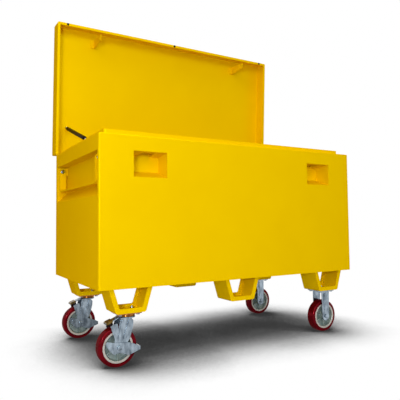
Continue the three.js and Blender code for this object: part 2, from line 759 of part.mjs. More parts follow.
function buildWheel(caster, name, axleX, headPlace) {
  const rimHalf = treadHalf - rimSetback;
  const webHalf = webThickness / 2;
  const hubHalf = forkInside / 2 - hubGap;
  const bore = axleRadius + running;
  const core = turned([
    [bore, -hubHalf], [hubRadius, -hubHalf], [hubRadius, -webHalf], [rimRadius - rimWall, -webHalf],
    [rimRadius - rimWall, -rimHalf], [rimRadius, -rimHalf], [rimRadius, rimHalf], [rimRadius - rimWall, rimHalf],
    [rimRadius - rimWall, webHalf], [hubRadius, webHalf], [hubRadius, hubHalf], [bore, hubHalf],
  ], [axleX, axleZ]);
  place(caster, `${name}_wheel_core`, join(core, ...wheelRibs(axleX)), castGrey);
  const inner = rimRadius + seat;
  const tread = turned([
    [inner, -treadHalf], [wheelRadius - treadShoulder, -treadHalf], [wheelRadius, -treadHalf + treadShoulder],
    [wheelRadius, treadHalf - treadShoulder], [wheelRadius - treadShoulder, treadHalf], [inner, treadHalf],
  ], [axleX, axleZ]);
  place(caster, `${name}_tyre`, tread, red);
  const centre = [axleX, 0, axleZ];
  const axle = join(
    rod('y', centre, axleRadius, [-headPlace - axleHeadHeight, headPlace + axleHeadHeight], boltSides),
    rod('y', centre, axleHeadRadius, [-headPlace - axleHeadHeight, -headPlace], boltHeadSides),
    rod('y', centre, axleHeadRadius, [headPlace, headPlace + axleHeadHeight], boltHeadSides),
  );
  place(caster, `${name}_axle`, axle, zinc);
}

const forkOutside = forkInside / 2 + forkPlate;

function buildSwivelCaster(chest, name, x, rear) {
  const caster = new THREE.Group();
  caster.position.set(x, legCentreY(rear), -legHeight);
  chest.add(caster);
  const plateUnder = -seat - casterPlate;
  const raceUnder = plateUnder - raceHeight;
  const forkTop = raceUnder - running;
  const forkUnder = forkTop - forkPlate;
  const nutTop = forkUnder - running;
  const centre = [0, 0, 0];
  const top = join(
    casterTopPlate(),
    rod('z', centre, raceRadius, [raceUnder, plateUnder], roundSides),
    rod('z', centre, kingpinRadius, [nutTop - kingpinNutHeight, raceUnder], boltSides),
    rod('z', centre, kingpinNutRadius, [nutTop - kingpinNutHeight, nutTop], boltHeadSides),
  );
  place(caster, `${name}_caster_plate`, top, zinc);

  const tongueTop = [[-tongueLength, forkTop - tongueDrop], [-tongueRoot, forkTop], [0, forkTop]];
  const tongue = [...tongueTop, ...tongueTop.map(([u, v]) => [u, v - forkPlate]).reverse()];
  const fork = cut(
    join(
      rod('z', centre, raceRadius, [forkUnder, forkTop], roundSides),
      block([-crownLeft, crownRight], [-forkOutside, forkOutside], [forkUnder, forkTop]),
      prism('y', tongue, [-tongueHalfWidth, tongueHalfWidth]),
      ...forkSides(swivelForkOutline(forkTop - axleZ), -swivelTrail),
    ),
    rod('z', centre, kingpinRadius + running, [forkUnder - overrun, forkTop + overrun], boltSides),
  );
  place(caster, `${name}_fork`, fork, zinc);

  const armIn = forkOutside + running;
  const armOut = armIn + pedalArm;
  buildWheel(caster, name, -swivelTrail, armOut + running);
  place(caster, `${name}_brake_pedal`, brakePedal(armIn, armOut), zinc);
}

function swivelForkOutline(height) {
  const scaled = (shares) => shares.map(([u, v]) => [u * wheelRadius, v * height]);
  const underside = arc([0, 0], swivelForkBoss, Math.PI, 2 * Math.PI - Math.PI / 6, 2 * cornerSteps);
  const top = [[swivelTrail + crownRight, height], [swivelTrail - crownLeft, height]];
  return [...underside, ...scaled(forkRightShares), ...top, ...scaled(forkLeftShares)];
}

// The pedal turns on the axle: two wing-shaped arms outside the fork and a lip in front of the tread.
function brakePedal(armIn, armOut) {
  const lipIn = wheelRadius + pedalGap;
  const lipOut = lipIn + pedalLip;
  const at = ([u, v]) => [u - swivelTrail, axleZ + v];
  const scaled = (shares) => shares.map(([u, v]) => at([u * wheelRadius, v * wheelRadius]));
  const tip = [at([lipOut, -pedalTipBottom]), at([lipOut, -pedalTipTop])];
  const wing = [...tip, ...scaled(pedalTopShares), ...scaled(pedalUnderShares)];
  const lip = [...tip, at([lipIn, -pedalTipTop]), at([lipIn, -pedalTipBottom])];
  return cut(
    join(prism('y', lip, [-armOut, armOut]), prism('y', wing, [-armOut, -armIn]), prism('y', wing, [armIn, armOut])),
    rod('y', [-swivelTrail, 0, axleZ], axleRadius + running, [-armOut - overrun, armOut + overrun], boltSides),
  );
}

function buildRigidCaster(chest, name, x, rear) {
  const caster = new THREE.Group();
  caster.position.set(x, legCentreY(rear), -legHeight);
  chest.add(caster);
  const height = -seat - casterPlate - axleZ;
  const outline = [
    ...arc([0, 0], rigidForkBoss, Math.PI, 2 * Math.PI, 2 * cornerSteps),
    [rigidForkHalfLength, height], [-rigidForkHalfLength, height],
  ];
  const fork = join(casterTopPlate(), ...forkSides(outline, 0));
  place(caster, `${name}_fork`, fork, zinc);
  buildWheel(caster, name, 0, forkOutside + seat);
}

// Assembly

const box = new THREE.Group();
const lidSwing = new THREE.Group();
lidSwing.position.set(0, hingeY, hingeZ);
lidSwing.rotation.x = -lidOpenAngle;
const lidClosed = new THREE.Group();
lidClosed.position.set(0, -hingeY, -hingeZ);
lidSwing.add(lidClosed);
box.add(lidSwing);

buildChest(box);
buildLegs(box);
buildLid(lidClosed);
buildHinge(box, lidClosed);
for (const [name, side] of sides) {
  buildPocket(box, name, side);
  buildRecess(box, name, side);
  buildHandle(box, name, side);
  buildStrike(lidClosed, name, side);
  buildStrut(box, lidClosed, name, side);
}
const casterX = halfWidth - legEndInset;
buildSwivelCaster(box, 'front_left', -casterX, false);
buildSwivelCaster(box, 'rear_left', -casterX, true);
buildRigidCaster(box, 'front_right', casterX, false);
buildRigidCaster(box, 'rear_right', casterX, true);

const group = new THREE.Group();
group.add(box);
group.updateMatrixWorld(true);
const bounds = new THREE.Box3().setFromObject(group, true);
const centre = bounds.getCenter(new THREE.Vector3());
box.position.set(-centre.x, -centre.y, -bounds.min.z);
group.updateMatrixWorld(true);

export default group;
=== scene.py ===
"""Looks of a steel jobsite storage box: powder-coated chest, open lid on gas struts, skid legs and casters.

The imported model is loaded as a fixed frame. Each sub-assembly is a class that models its pieces around the frame's
nodes, dresses them and lets them ride on their bodies. Lengths are in metres, with +X to the right, +Y to the back
and +Z up, and the floor at zero.
"""

from __future__ import annotations

import json
import logging
import math
from collections.abc import Iterator, Sequence
from contextlib import contextmanager
from dataclasses import dataclass
from enum import Enum
from typing import Any

import bpy
from mathutils import Matrix, Vector

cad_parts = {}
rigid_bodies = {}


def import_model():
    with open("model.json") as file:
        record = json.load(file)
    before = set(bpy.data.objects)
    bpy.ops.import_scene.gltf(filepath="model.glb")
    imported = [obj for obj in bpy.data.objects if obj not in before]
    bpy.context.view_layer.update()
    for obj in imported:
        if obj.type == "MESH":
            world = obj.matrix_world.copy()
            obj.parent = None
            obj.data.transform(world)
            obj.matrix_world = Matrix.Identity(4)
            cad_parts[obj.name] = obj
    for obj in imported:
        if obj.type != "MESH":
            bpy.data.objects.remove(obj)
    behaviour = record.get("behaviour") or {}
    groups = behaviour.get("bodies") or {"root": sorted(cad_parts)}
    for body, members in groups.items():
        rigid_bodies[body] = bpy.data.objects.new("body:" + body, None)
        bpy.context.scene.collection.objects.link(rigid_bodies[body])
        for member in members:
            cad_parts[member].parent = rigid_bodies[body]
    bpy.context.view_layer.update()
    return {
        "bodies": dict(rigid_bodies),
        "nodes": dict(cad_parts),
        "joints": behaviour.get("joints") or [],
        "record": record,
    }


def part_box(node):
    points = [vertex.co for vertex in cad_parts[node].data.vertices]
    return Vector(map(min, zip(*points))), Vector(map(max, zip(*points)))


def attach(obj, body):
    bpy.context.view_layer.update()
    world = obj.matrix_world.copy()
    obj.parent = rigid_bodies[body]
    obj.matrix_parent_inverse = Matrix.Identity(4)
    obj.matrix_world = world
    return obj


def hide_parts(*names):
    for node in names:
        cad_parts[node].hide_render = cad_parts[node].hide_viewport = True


LOG = logging.getLogger("storage_box")

Pair = tuple[float, float]
Triple = tuple[float, float, float]
Piece = bpy.types.Object
Material = bpy.types.Material
Socket = bpy.types.NodeSocket
Tree = bpy.types.NodeTree

MM = 0.001
FULL_TURN = 2 * math.pi
WELD_DISTANCE = 0.01 * MM
SPIN_STEPS = 96
ROUND_SIDES = 40
HEX_SIDES = 6
ARC_STEPS = 10
CORNER_STEPS = 4
CORNER_SHARE = 0.48  # how much of an edge a round corner takes up at most
EDGE_SEGMENTS = 2
BEAD_RESOLUTION = 3
SMOOTH_DEG = 38.0
FLAT_DEG = 0.5
NOISE_MIDDLE = (0.3, 0.7)
WASHER = 1.2 * MM
WASHER_SHARE = 1.95  # radius of washer, nut, nut's edge and bolt's point, each as a share of the shank's radius
NUT_SHARE = 1.75
NUT_EDGE = 0.14
BOLT_POINT = 0.7
SIDES = (("left", -1), ("right", 1))
ENDS = (("front", -1), ("rear", 1))
LEG_PLACES = ("left", "middle", "right")


class Axis(Enum):
    """The axis that a bar runs along, a plate is square to or a profile is spun about."""

    X = "X"
    Y = "Y"
    Z = "Z"

    @property
    def frame(self) -> Matrix:
        """Turns a drawing on the XY plane so that its own Z lies on this axis.

        Returns:
            The turn as a matrix.
        """
        columns = {
            Axis.X: ((0, 1, 0), (0, 0, 1), (1, 0, 0)),
            Axis.Y: ((1, 0, 0), (0, 0, 1), (0, -1, 0)),
            Axis.Z: ((1, 0, 0), (0, 1, 0), (0, 0, 1)),
        }[self]
        return Matrix(columns).transposed().to_4x4()

    @property
    def direction(self) -> Vector:
        """The positive direction of this axis."""
        return Vector({Axis.X: (1, 0, 0), Axis.Y: (0, 1, 0), Axis.Z: (0, 0, 1)}[self])


class Slot(Enum):
    """Material slots of the record."""

    YELLOW = "yellow_paint"
    ZINC = "zinc_plate"
    STEEL = "bright_steel"
    BLACK = "black_enamel"
    RUBBER = "black_rubber"
    RED = "red_polyurethane"
    GREY = "cast_grey"


# Colour and node helpers


def linear(code: str) -> tuple[float, float, float, float]:
    """Turns an sRGB hex colour into the linear colour that shaders read.

    Args:
        code: A colour such as "#ECC400".

    Returns:
        Linear red, green and blue, and an alpha of one.
    """
    shares = [int(code[start:start + 2], 16) / 255 for start in (1, 3, 5)]
    red, green, blue = (s / 12.92 if s <= 0.04045 else ((s + 0.055) / 1.055) ** 2.4 for s in shares)
    return red, green, blue, 1.0


def add_node(tree: Tree, kind: str, settings: dict[str, Any] | None = None,
             inputs: dict[str | int, Any] | None = None) -> bpy.types.Node:
    """Adds a node, sets its properties, and sets or links its sockets.

    Args:
        tree: The node tree.
        kind: The node's type name, without the word ShaderNode.
        settings: Property names and values.
        inputs: Socket names or numbers, each with a value or with the output socket that feeds it.

    Returns:
        The new node.
    """
    node = tree.nodes.new(f"ShaderNode{kind}")
    for name, value in (settings or {}).items():
        setattr(node, name, value)
    for name, value in (inputs or {}).items():
        if isinstance(value, Socket):
            tree.links.new(value, node.inputs[name])
        else:
            node.inputs[name].default_value = value
    return node


class Surface:
    """A Principled material in the making, whose noises lie on object coordinates."""

    def __init__(self, name: str) -> None:
        """Starts the material under the finish's name.

        Args:
            name: The finish's name.
        """
        self.material = bpy.data.materials.new(name)
        self.material.use_nodes = True
        self.tree = self.material.node_tree
        self.tree.nodes.clear()
        self.shader = add_node(self.tree, "BsdfPrincipled")
        add_node(self.tree, "OutputMaterial", inputs={"Surface": self.shader.outputs["BSDF"]})
        self.coordinates = add_node(self.tree, "TexCoord").outputs["Object"]

    def noise(self, size: float, detail: float = 2.0, coordinates: Socket | None = None) -> Socket:
        """Adds a noise whose features have a real size.

        Args:
            size: The size of one feature, in metres.
            detail: How many finer layers it holds.
            coordinates: What it is laid on, where that isn't the plain object coordinates.

        Returns:
            The noise's value socket.
        """
        place = self.coordinates if coordinates is None else coordinates
        return add_node(self.tree, "TexNoise", inputs={"Vector": place, "Scale": 1 / size,
                                                       "Detail": detail}).outputs["Fac"]

    def spread(self, value: Socket, low: float, high: float) -> Socket:
        """Spreads the middle of a noise over a range.

        Args:
            value: The noise.
            low: The value where the noise is low.
            high: The value where it is high.

        Returns:
            The spread value's socket.
        """
        start, end = NOISE_MIDDLE
        return add_node(self.tree, "MapRange", inputs={"Value": value, "From Min": start, "From Max": end,
                                                       "To Min": low, "To Max": high}).outputs["Result"]

    def colour(self, value: Socket, low: str, high: str) -> None:
        """Mixes the base colour by a noise.

        Args:
            value: The noise.
            low: The sRGB hex colour where the noise is low.
            high: The colour where it is high.
        """
        mix = add_node(self.tree, "Mix", {"data_type": "RGBA"},
                       {0: self.spread(value, 0.0, 1.0), 6: linear(low), 7: linear(high)})
        self.tree.links.new(mix.outputs[2], self.shader.inputs["Base Color"])

    def roughen(self, value: Socket, span: Pair) -> None:
        """Lets the roughness follow a noise over a range."""
        self.tree.links.new(self.spread(value, *span), self.shader.inputs["Roughness"])

    def bump(self, height: Socket, strength: float, depth: float) -> None:
        """Raises a noise in the shading.

        Args:
            height: The noise.
            strength: How much of it shows.
            depth: How far it stands up, in metres.
        """
        node = add_node(self.tree, "Bump", inputs={"Height": height, "Strength": strength, "Distance": depth})
        self.tree.links.new(node.outputs["Normal"], self.shader.inputs["Normal"])

    def finished(self, constants: dict[str, Any]) -> Material:
        """Sets the shader's sockets that are the same all over, and hands out the material.

        Args:
            constants: Socket names and values.

        Returns:
            The material.
        """
        for name, value in constants.items():
            self.shader.inputs[name].default_value = value
        return self.material


# Finishes


@dataclass(frozen=True)
class PowderCoat:
    """Polyester powder coat on sheet steel, sprayed and baked.

    It gives the eye an even, saturated colour, and a soft gloss in that same colour that fine orange peel breaks up.
    """

    name: str = "powder_coat_yellow"
    colour: str = "#F3D200"
    thin_colour: str = "#F1CF00"
    edge_tint: str = "#F4C400"
    patch: float = 220 * MM
    gloss_patch: float = 55 * MM
    peel: float = 5 * MM  # really 1 to 2 mm, drawn coarser so that it shows
    peel_strength: float = 0.05
    peel_depth: float = 0.15 * MM
    roughness: Pair = (0.3, 0.34)
    coloured_gloss: float = 0.16

    def make(self) -> Material:
        """Builds the material.

        Returns:
            The material.
        """
        surface = Surface(self.name)
        surface.colour(surface.noise(self.patch), self.colour, self.thin_colour)
        surface.roughen(surface.noise(self.gloss_patch), self.roughness)
        surface.bump(surface.noise(self.peel, detail=1.0), self.peel_strength, self.peel_depth)
        return surface.finished({"Metallic": self.coloured_gloss, "Specular Tint": linear(self.edge_tint),
                                 "Specular IOR Level": 0.0})


@dataclass(frozen=True)
class ZincPlate:
    """Pressed steel with a zinc plating.

    It gives the eye a bluish grey metal with faint flow marks, and streaky patches of lighter and darker colour: partly
    the plating's own clouding, partly painted reflection that stands in for mirrored highlights and dark gaps.
    """

    name: str = "zinc_plated_steel"
    # painted reflection: the light and dark tones stand in partly for mirrored highlights and dark gaps, on top of the
    # plating's own clouding
    plating_and_sheen_light: str = "#AEBCC8"
    plating_and_sheen_dark: str = "#66727D"
    patch: float = 18 * MM
    streak: float = 2.2
    streak_turn: Triple = (0.5, 0.4, 0.3)
    grain: float = 1.6 * MM
    grain_strength: float = 0.06
    grain_depth: float = 0.15 * MM
    roughness: Pair = (0.17, 0.26)

    def make(self) -> Material:
        """Builds the material.

        Returns:
            The material.
        """
        surface = Surface(self.name)
        drawn_out = add_node(surface.tree, "Mapping", inputs={
            "Vector": surface.coordinates, "Rotation": self.streak_turn, "Scale": (1.0, 1.0, 1 / self.streak)})
        # painted reflection: the streaky light and dark patches stand in partly for mirrored highlights and dark gaps
        surface.colour(surface.noise(self.patch, 4.0, drawn_out.outputs[0]), self.plating_and_sheen_light, self.plating_and_sheen_dark)
        grain = surface.noise(self.grain, detail=3.0)
        surface.roughen(grain, self.roughness)
        surface.bump(grain, self.grain_strength, self.grain_depth)
        return surface.finished({"Metallic": 1.0})


@dataclass(frozen=True)
class CastPolyurethane:
    """Cast polyurethane tread, poured in a mould and turned to size.

    It gives the eye a deep red with a wet gloss, and fine turning marks that break the gloss a little.
    """

    name: str = "polyurethane_red"
    colour: str = "#740818"
    deep: str = "#5A0511"
    edge_tint: str = "#C8404C"
    patch: float = 30 * MM
    turning: float = 5 * MM
    roughness: Pair = (0.14, 0.24)
    coloured_gloss: float = 0.4
    wet_coat: float = 0.08
    wet_roughness: float = 0.14

    def make(self) -> Material:
        """Builds the material.

        Returns:
            The material.
        """
        surface = Surface(self.name)
        surface.colour(surface.noise(self.patch), self.colour, self.deep)
        surface.roughen(surface.noise(self.turning, detail=4.0), self.roughness)
        return surface.finished({"Metallic": self.coloured_gloss, "Specular Tint": linear(self.edge_tint),
                                 "Specular IOR Level": 0.0, "Coat Weight": self.wet_coat,
                                 "Coat Roughness": self.wet_roughness})


@dataclass(frozen=True)
class CastPaint:
    """Cast iron wheel core under thin grey-green paint, with the pebbled skin of a sand mould."""

    name: str = "cast_core_paint"
    colour: str = "#9DB1B4"
    shade: str = "#72868A"
    patch: float = 24 * MM
    pebble: float = 3 * MM
    pebble_strength: float = 0.35
    pebble_depth: float = 0.3 * MM
    roughness: float = 0.42
    iron_gleam: float = 0.3

    def make(self) -> Material:
        """Builds the material.

        Returns:
            The material.
        """
        surface = Surface(self.name)
        surface.colour(surface.noise(self.patch, detail=3.0), self.colour, self.shade)
        surface.bump(surface.noise(self.pebble, detail=3.0), self.pebble_strength, self.pebble_depth)
        return surface.finished({"Roughness": self.roughness, "Metallic": self.iron_gleam})


@dataclass(frozen=True)
class TurnedMetal:
    """Metal that was turned or ground, with fine lines across its length that stretch every highlight."""

    name: str
    colour: str
    shade: str
    metallic: float = 1.0
    line: float = 0.6 * MM
    roughness: Pair = (0.16, 0.26)

    def make(self) -> Material:
        """Builds the material.

        Returns:
            The material.
        """
        surface = Surface(self.name)
        lines = surface.noise(self.line, detail=1.0)
        surface.roughen(lines, self.roughness)
        surface.colour(lines, self.colour, self.shade)
        return surface.finished({"Metallic": self.metallic})


@dataclass(frozen=True)
class Moulded:
    """Moulded rubber or baked enamel: one dark colour with a fine skin that breaks up the gloss."""

    name: str
    colour: str
    shade: str
    roughness: Pair
    specular: float = 0.08
    patch: float = 30 * MM
    skin: float = 1.5 * MM
    skin_strength: float = 0.1
    skin_depth: float = 0.1 * MM

    def make(self) -> Material:
        """Builds the material.

        Returns:
            The material.
        """
        surface = Surface(self.name)
        surface.colour(surface.noise(self.patch), self.colour, self.shade)
        skin = surface.noise(self.skin, detail=3.0)
        surface.roughen(skin, self.roughness)
        surface.bump(skin, self.skin_strength, self.skin_depth)
        return surface.finished({"Specular IOR Level": self.specular})


@dataclass(frozen=True)
class Coat:
    """A finish, and the record's slot that it stands for."""

    material: Material
    slot: Slot


@dataclass
class Finishes:
    """Every finish of the box, made once."""

    yellow: Coat
    zinc: Coat
    passivated: Coat
    olive: Coat
    red: Coat
    core: Coat
    rim: Coat
    chrome: Coat
    black: Coat
    rubber: Coat

    @classmethod
    def make(cls) -> Finishes:
        """Builds all the materials.

        Returns:
            The finishes.
        """
        # The swivel casters' top plates are orange, partly a yellow passivation and partly painted reflection: the tint
        # stands in for the red treads and the yellow box mirrored in the plate.
        orange_zinc = ZincPlate(name="yellow_passivated_zinc", plating_and_sheen_light="#CC8A48", plating_and_sheen_dark="#8A5426")
        olive_zinc = ZincPlate(name="olive_passivated_zinc", plating_and_sheen_light="#94793E", plating_and_sheen_dark="#4C3C1C")
        rim = TurnedMetal("machined_rim", "#CDD1D4", "#B4B9BD", metallic=0.3, line=0.8 * MM, roughness=(0.38, 0.5))
        chrome = TurnedMetal("ground_chrome", "#D2D4D6", "#A9ABAD")
        enamel = Moulded("black_enamel_tube", "#140903", "#1D1107", roughness=(0.3, 0.38), specular=0.02)
        rubber = Moulded("black_moulded_rubber", "#161616", "#202020", roughness=(0.55, 0.75))
        return cls(
            yellow=Coat(PowderCoat().make(), Slot.YELLOW),
            zinc=Coat(ZincPlate().make(), Slot.ZINC),
            passivated=Coat(orange_zinc.make(), Slot.ZINC),
            olive=Coat(olive_zinc.make(), Slot.ZINC),
            red=Coat(CastPolyurethane().make(), Slot.RED),
            core=Coat(CastPaint().make(), Slot.GREY),
            rim=Coat(rim.make(), Slot.GREY),
            chrome=Coat(chrome.make(), Slot.STEEL),
            black=Coat(enamel.make(), Slot.BLACK),
            rubber=Coat(rubber.make(), Slot.RUBBER),
        )


# Bench: primitives, edit-mode work and modifiers


def pick(*pieces: Piece) -> None:
    """Selects only these pieces, and makes the first one active.

    Args:
        pieces: The pieces.
    """
    bpy.ops.object.select_all(action="DESELECT")
    for piece in pieces:
        piece.select_set(True)
    bpy.context.view_layer.objects.active = pieces[0]


def placed(name: str, data: bpy.types.ID) -> Piece:
    """Adds an object that shows a mesh, a curve, a lamp or a camera.

    Args:
        name: The object's name.
        data: What it shows.

    Returns:
        The object, at the origin.
    """
    piece = bpy.data.objects.new(name, data)
    bpy.context.scene.collection.objects.link(piece)
    return piece


def newest(name: str) -> Piece:
    """Gives the piece that an operator has just made its name."""
    bpy.context.active_object.name = name
    return bpy.context.active_object


@contextmanager
def editing(piece: Piece) -> Iterator[None]:
    """Works on one piece in edit mode.

    Args:
        piece: The piece.
    """
    pick(piece)
    bpy.ops.object.mode_set(mode="EDIT")
    try:
        yield
    finally:
        bpy.ops.object.mode_set(mode="OBJECT")


def settle(piece: Piece) -> Piece:
    """Moves a new piece's place, turn and size into its mesh, so that its object sits at the origin.

    Args:
        piece: The piece.

    Returns:
        The same piece.
    """
    pick(piece)
    bpy.ops.object.transform_apply(location=True, rotation=True, scale=True)
    return piece


def weld(piece: Piece) -> Piece:
    """Merges doubled points and turns all faces outwards.

    Args:
        piece: The piece.

    Returns:
        The same piece.
    """
    with editing(piece):
        bpy.ops.mesh.select_all(action="SELECT")
        bpy.ops.mesh.remove_doubles(threshold=WELD_DISTANCE)
        bpy.ops.mesh.delete_loose()
        bpy.ops.mesh.select_all(action="SELECT")
        bpy.ops.mesh.normals_make_consistent(inside=False)
    return piece


def block(name: str, low: Sequence[float], high: Sequence[float]) -> Piece:
    """Adds a cube primitive that fills a box.

    Args:
        name: The piece's name.
        low: One corner.
        high: The other corner, in any order.

    Returns:
        The piece.
    """
    first, second = Vector(low), Vector(high)
    size = [abs(value) for value in second - first]
    bpy.ops.mesh.primitive_cube_add(size=1, location=(first + second) / 2, scale=size)
    return settle(newest(name))


def bar(name: str, axis: Axis, centre: Sequence[float], radius: float, span: Pair, sides: int = ROUND_SIDES,
        tip_radius: float | None = None) -> Piece:
    """Adds a round or hexagonal bar, or a cone frustum.

    Args:
        name: The piece's name.
        axis: The axis that it runs along.
        centre: A point on its axis.
        radius: Its radius at the start.
        span: Where it starts and ends along its axis.
        sides: How many sides it has.
        tip_radius: Its radius at the end, if that is another one.

    Returns:
        The piece.
    """
    middle = Vector(centre)
    middle["XYZ".index(axis.value)] = sum(span) / 2
    tip = radius if tip_radius is None else tip_radius
    bpy.ops.mesh.primitive_cone_add(vertices=sides, radius1=radius, radius2=tip, depth=abs(span[1] - span[0]))
    piece = newest(name)
    turn = Vector((0, 0, 1)).rotation_difference(axis.direction if span[1] >= span[0] else -axis.direction)
    piece.matrix_world = Matrix.Translation(middle) @ turn.to_matrix().to_4x4()
    return settle(piece)


def plate(name: str, axis: Axis, outline: Sequence[Pair], faces: Pair) -> Piece:
    """Cuts a flat plate from an outline.

    Args:
        name: The piece's name.
        axis: The axis that the plate is square to. The outline is (y, z) across X, (x, z) across Y, (x, y) across Z.
        outline: The plate's outline.
        faces: Where its two faces lie along the axis.

    Returns:
        The piece.
    """
    curve = bpy.data.curves.new(name, "CURVE")
    curve.dimensions = "2D"
    curve.fill_mode = "BOTH"
    curve.extrude = abs(faces[1] - faces[0]) / 2
    piece = drawn(name, curve, [(u, v, 0) for u, v in outline], cyclic=True)
    piece.matrix_world = Matrix.Translation(axis.direction * sum(faces) / 2) @ axis.frame
    pick(piece)
    bpy.ops.object.convert(target="MESH")
    return weld(settle(bpy.context.active_object))


def drawn(name: str, curve: bpy.types.Curve, points: Sequence[Sequence[float]], cyclic: bool) -> Piece:
    """Puts one line of straight stretches on a curve and adds the curve to the scene.

    Args:
        name: The piece's name.
        curve: The curve.
        points: The line's points.
        cyclic: Whether the line is closed.

    Returns:
        The curve's object, at the origin.
    """
    spline = curve.splines.new("POLY")
    spline.points.add(len(points) - 1)
    for point, place in zip(spline.points, points, strict=True):
        point.co = (*place, 1)
    spline.use_cyclic_u = cyclic
    return placed(name, curve)


def arc(centre: Pair, radius: float, start: float, end: float, steps: int = ARC_STEPS) -> list[Pair]:
    """Points of an arc.

    Args:
        centre: The arc's centre.
        radius: Its radius.
        start: The angle that it starts at, in degrees.
        end: The angle that it ends at.
        steps: How many chords it has.

    Returns:
        The points, both ends included.
    """
    angles = [math.radians(start + (end - start) * step / steps) for step in range(steps + 1)]
    return [(centre[0] + radius * math.cos(a), centre[1] + radius * math.sin(a)) for a in angles]


def rounded(low: Pair, high: Pair, radius: float) -> list[Pair]:
    """The outline of a rectangle with round corners.

    Args:
        low: Its lower left corner.
        high: Its upper right corner.
        radius: The corners' radius.

    Returns:
        The outline's points.
    """
    (u0, v0), (u1, v1) = low, high
    corners = ((u1, v1, -1, -1), (u0, v1, 1, -1), (u0, v0, 1, 1), (u1, v0, -1, 1))
    return [point for turn, (u, v, du, dv) in enumerate(corners)
            for point in arc((u + du * radius, v + dv * radius), radius, 90 * turn, 90 * (turn + 1), CORNER_STEPS)]


def laid(line: Sequence[Pair], origin: Pair, scale: Pair = (MM, MM)) -> list[Pair]:
    """Lays a drawn line at its place.

    Args:
        line: The line's points, in units of the scale.
        origin: Where the line's zero comes to lie.
        scale: The length of one unit, across and up.

    Returns:
        The points.
    """
    return [(origin[0] + u * scale[0], origin[1] + v * scale[1]) for u, v in line]


def softened(outline: Sequence[Pair], radius: float) -> list[Pair]:
    """Rounds every corner of an outline with a smooth curve between its two edges.

    Args:
        outline: The outline's points.
        radius: How far from the corner the curve starts, unless the edge is too short for it.

    Returns:
        The rounded outline.
    """
    points = [Vector(point) for point in outline]
    result = []
    for index, corner in enumerate(points):
        before, after = points[index - 1], points[(index + 1) % len(points)]
        reach = min(radius, (before - corner).length * CORNER_SHARE, (after - corner).length * CORNER_SHARE)
        first = corner + (before - corner).normalized() * reach
        last = corner + (after - corner).normalized() * reach
        for step in range(CORNER_STEPS + 1):
            t = step / CORNER_STEPS
            place = first * (1 - t) ** 2 + corner * 2 * t * (1 - t) + last * t ** 2
            result.append((place.x, place.y))
    return result


def spun(name: str, axis: Axis, centre: Sequence[float], profile: Sequence[Pair], steps: int = SPIN_STEPS) -> Piece:
    """Spins a closed profile round an axis.

    Args:
        name: The piece's name.
        axis: The axis of the spin.
        centre: A point on the axis. Places along the axis are counted from it.
        profile: Points of (radius, place along the axis).
        steps: How many steps the full turn has.

    Returns:
        The piece.
    """
    along = axis.direction
    outwards = Vector((0, 0, 1)) if axis is not Axis.Z else Vector((1, 0, 0))
    middle = Vector(centre)
    curve = bpy.data.curves.new(name, "CURVE")
    curve.dimensions = "3D"
    pick(drawn(name, curve, [middle + outwards * radius + along * place for radius, place in profile], cyclic=True))
    bpy.ops.object.convert(target="MESH")
    piece = bpy.context.active_object
    with editing(piece):
        bpy.ops.mesh.select_all(action="SELECT")
        bpy.ops.mesh.spin(steps=steps, angle=FULL_TURN, center=middle, axis=along)
    return weld(piece)


def tube(name: str, points: Sequence[Sequence[float]], radius: float) -> Piece:
    """Makes a round rod along a line of points, with closed ends.

    Args:
        name: The piece's name.
        points: The line that it follows.
        radius: Its radius.

    Returns:
        The piece.
    """
    curve = bpy.data.curves.new(name, "CURVE")
    curve.dimensions = "3D"
    curve.bevel_depth = radius
    curve.bevel_resolution = BEAD_RESOLUTION
    curve.use_fill_caps = True
    pick(drawn(name, curve, points, cyclic=False))
    bpy.ops.object.convert(target="MESH")
    return weld(bpy.context.active_object)


def apply_modifier(piece: Piece, kind: str, **settings: Any) -> Piece:
    """Adds a modifier with its settings and applies it.

    Args:
        piece: The piece.
        kind: The modifier's type.
        settings: Its properties and their values.

    Returns:
        The same piece.
    """
    pick(piece)
    modifier = piece.modifiers.new(kind.title(), kind)
    for name, value in settings.items():
        setattr(modifier, name, value)
    bpy.ops.object.modifier_apply(modifier=modifier.name)
    return piece


def smooth(piece: Piece) -> Piece:
    """Shades all but the sharp edges smooth.

    Args:
        piece: The piece.

    Returns:
        The same piece.
    """
    pick(piece)
    bpy.ops.object.shade_smooth_by_angle(angle=math.radians(SMOOTH_DEG))
    return piece


def ease(piece: Piece, width: float, segments: int = EDGE_SEGMENTS) -> Piece:
    """Rounds every sharp edge, as a press, a file or a tumbler leaves it, and shades the bends smooth.

    Args:
        piece: The piece.
        width: How wide the rounding is.
        segments: How many faces it has across.

    Returns:
        The piece.
    """
    apply_modifier(piece, "BEVEL", width=width, segments=segments, limit_method="ANGLE",
                   angle_limit=math.radians(SMOOTH_DEG), miter_outer="MITER_ARC")
    return apply_modifier(smooth(piece), "WEIGHTED_NORMAL", keep_sharp=True)


def combine(operation: str, piece: Piece, *others: Piece) -> Piece:
    """Cuts other pieces out of a piece or fuses them to it, and throws them away.

    Args:
        operation: DIFFERENCE to cut or UNION to fuse.
        piece: The piece that stays.
        others: The pieces that are used up.

    Returns:
        The piece.
    """
    for other in others:
        apply_modifier(piece, "BOOLEAN", operation=operation, object=other, solver="EXACT")
        bpy.data.objects.remove(other)
    return piece


def carve(piece: Piece, *cutters: Piece) -> Piece:
    """Cuts the cutters out of a piece."""
    return combine("DIFFERENCE", piece, *cutters)


def fuse(piece: Piece, *others: Piece) -> Piece:
    """Fuses pieces that are pressed or welded from one into a single closed shell."""
    return combine("UNION", piece, *others)


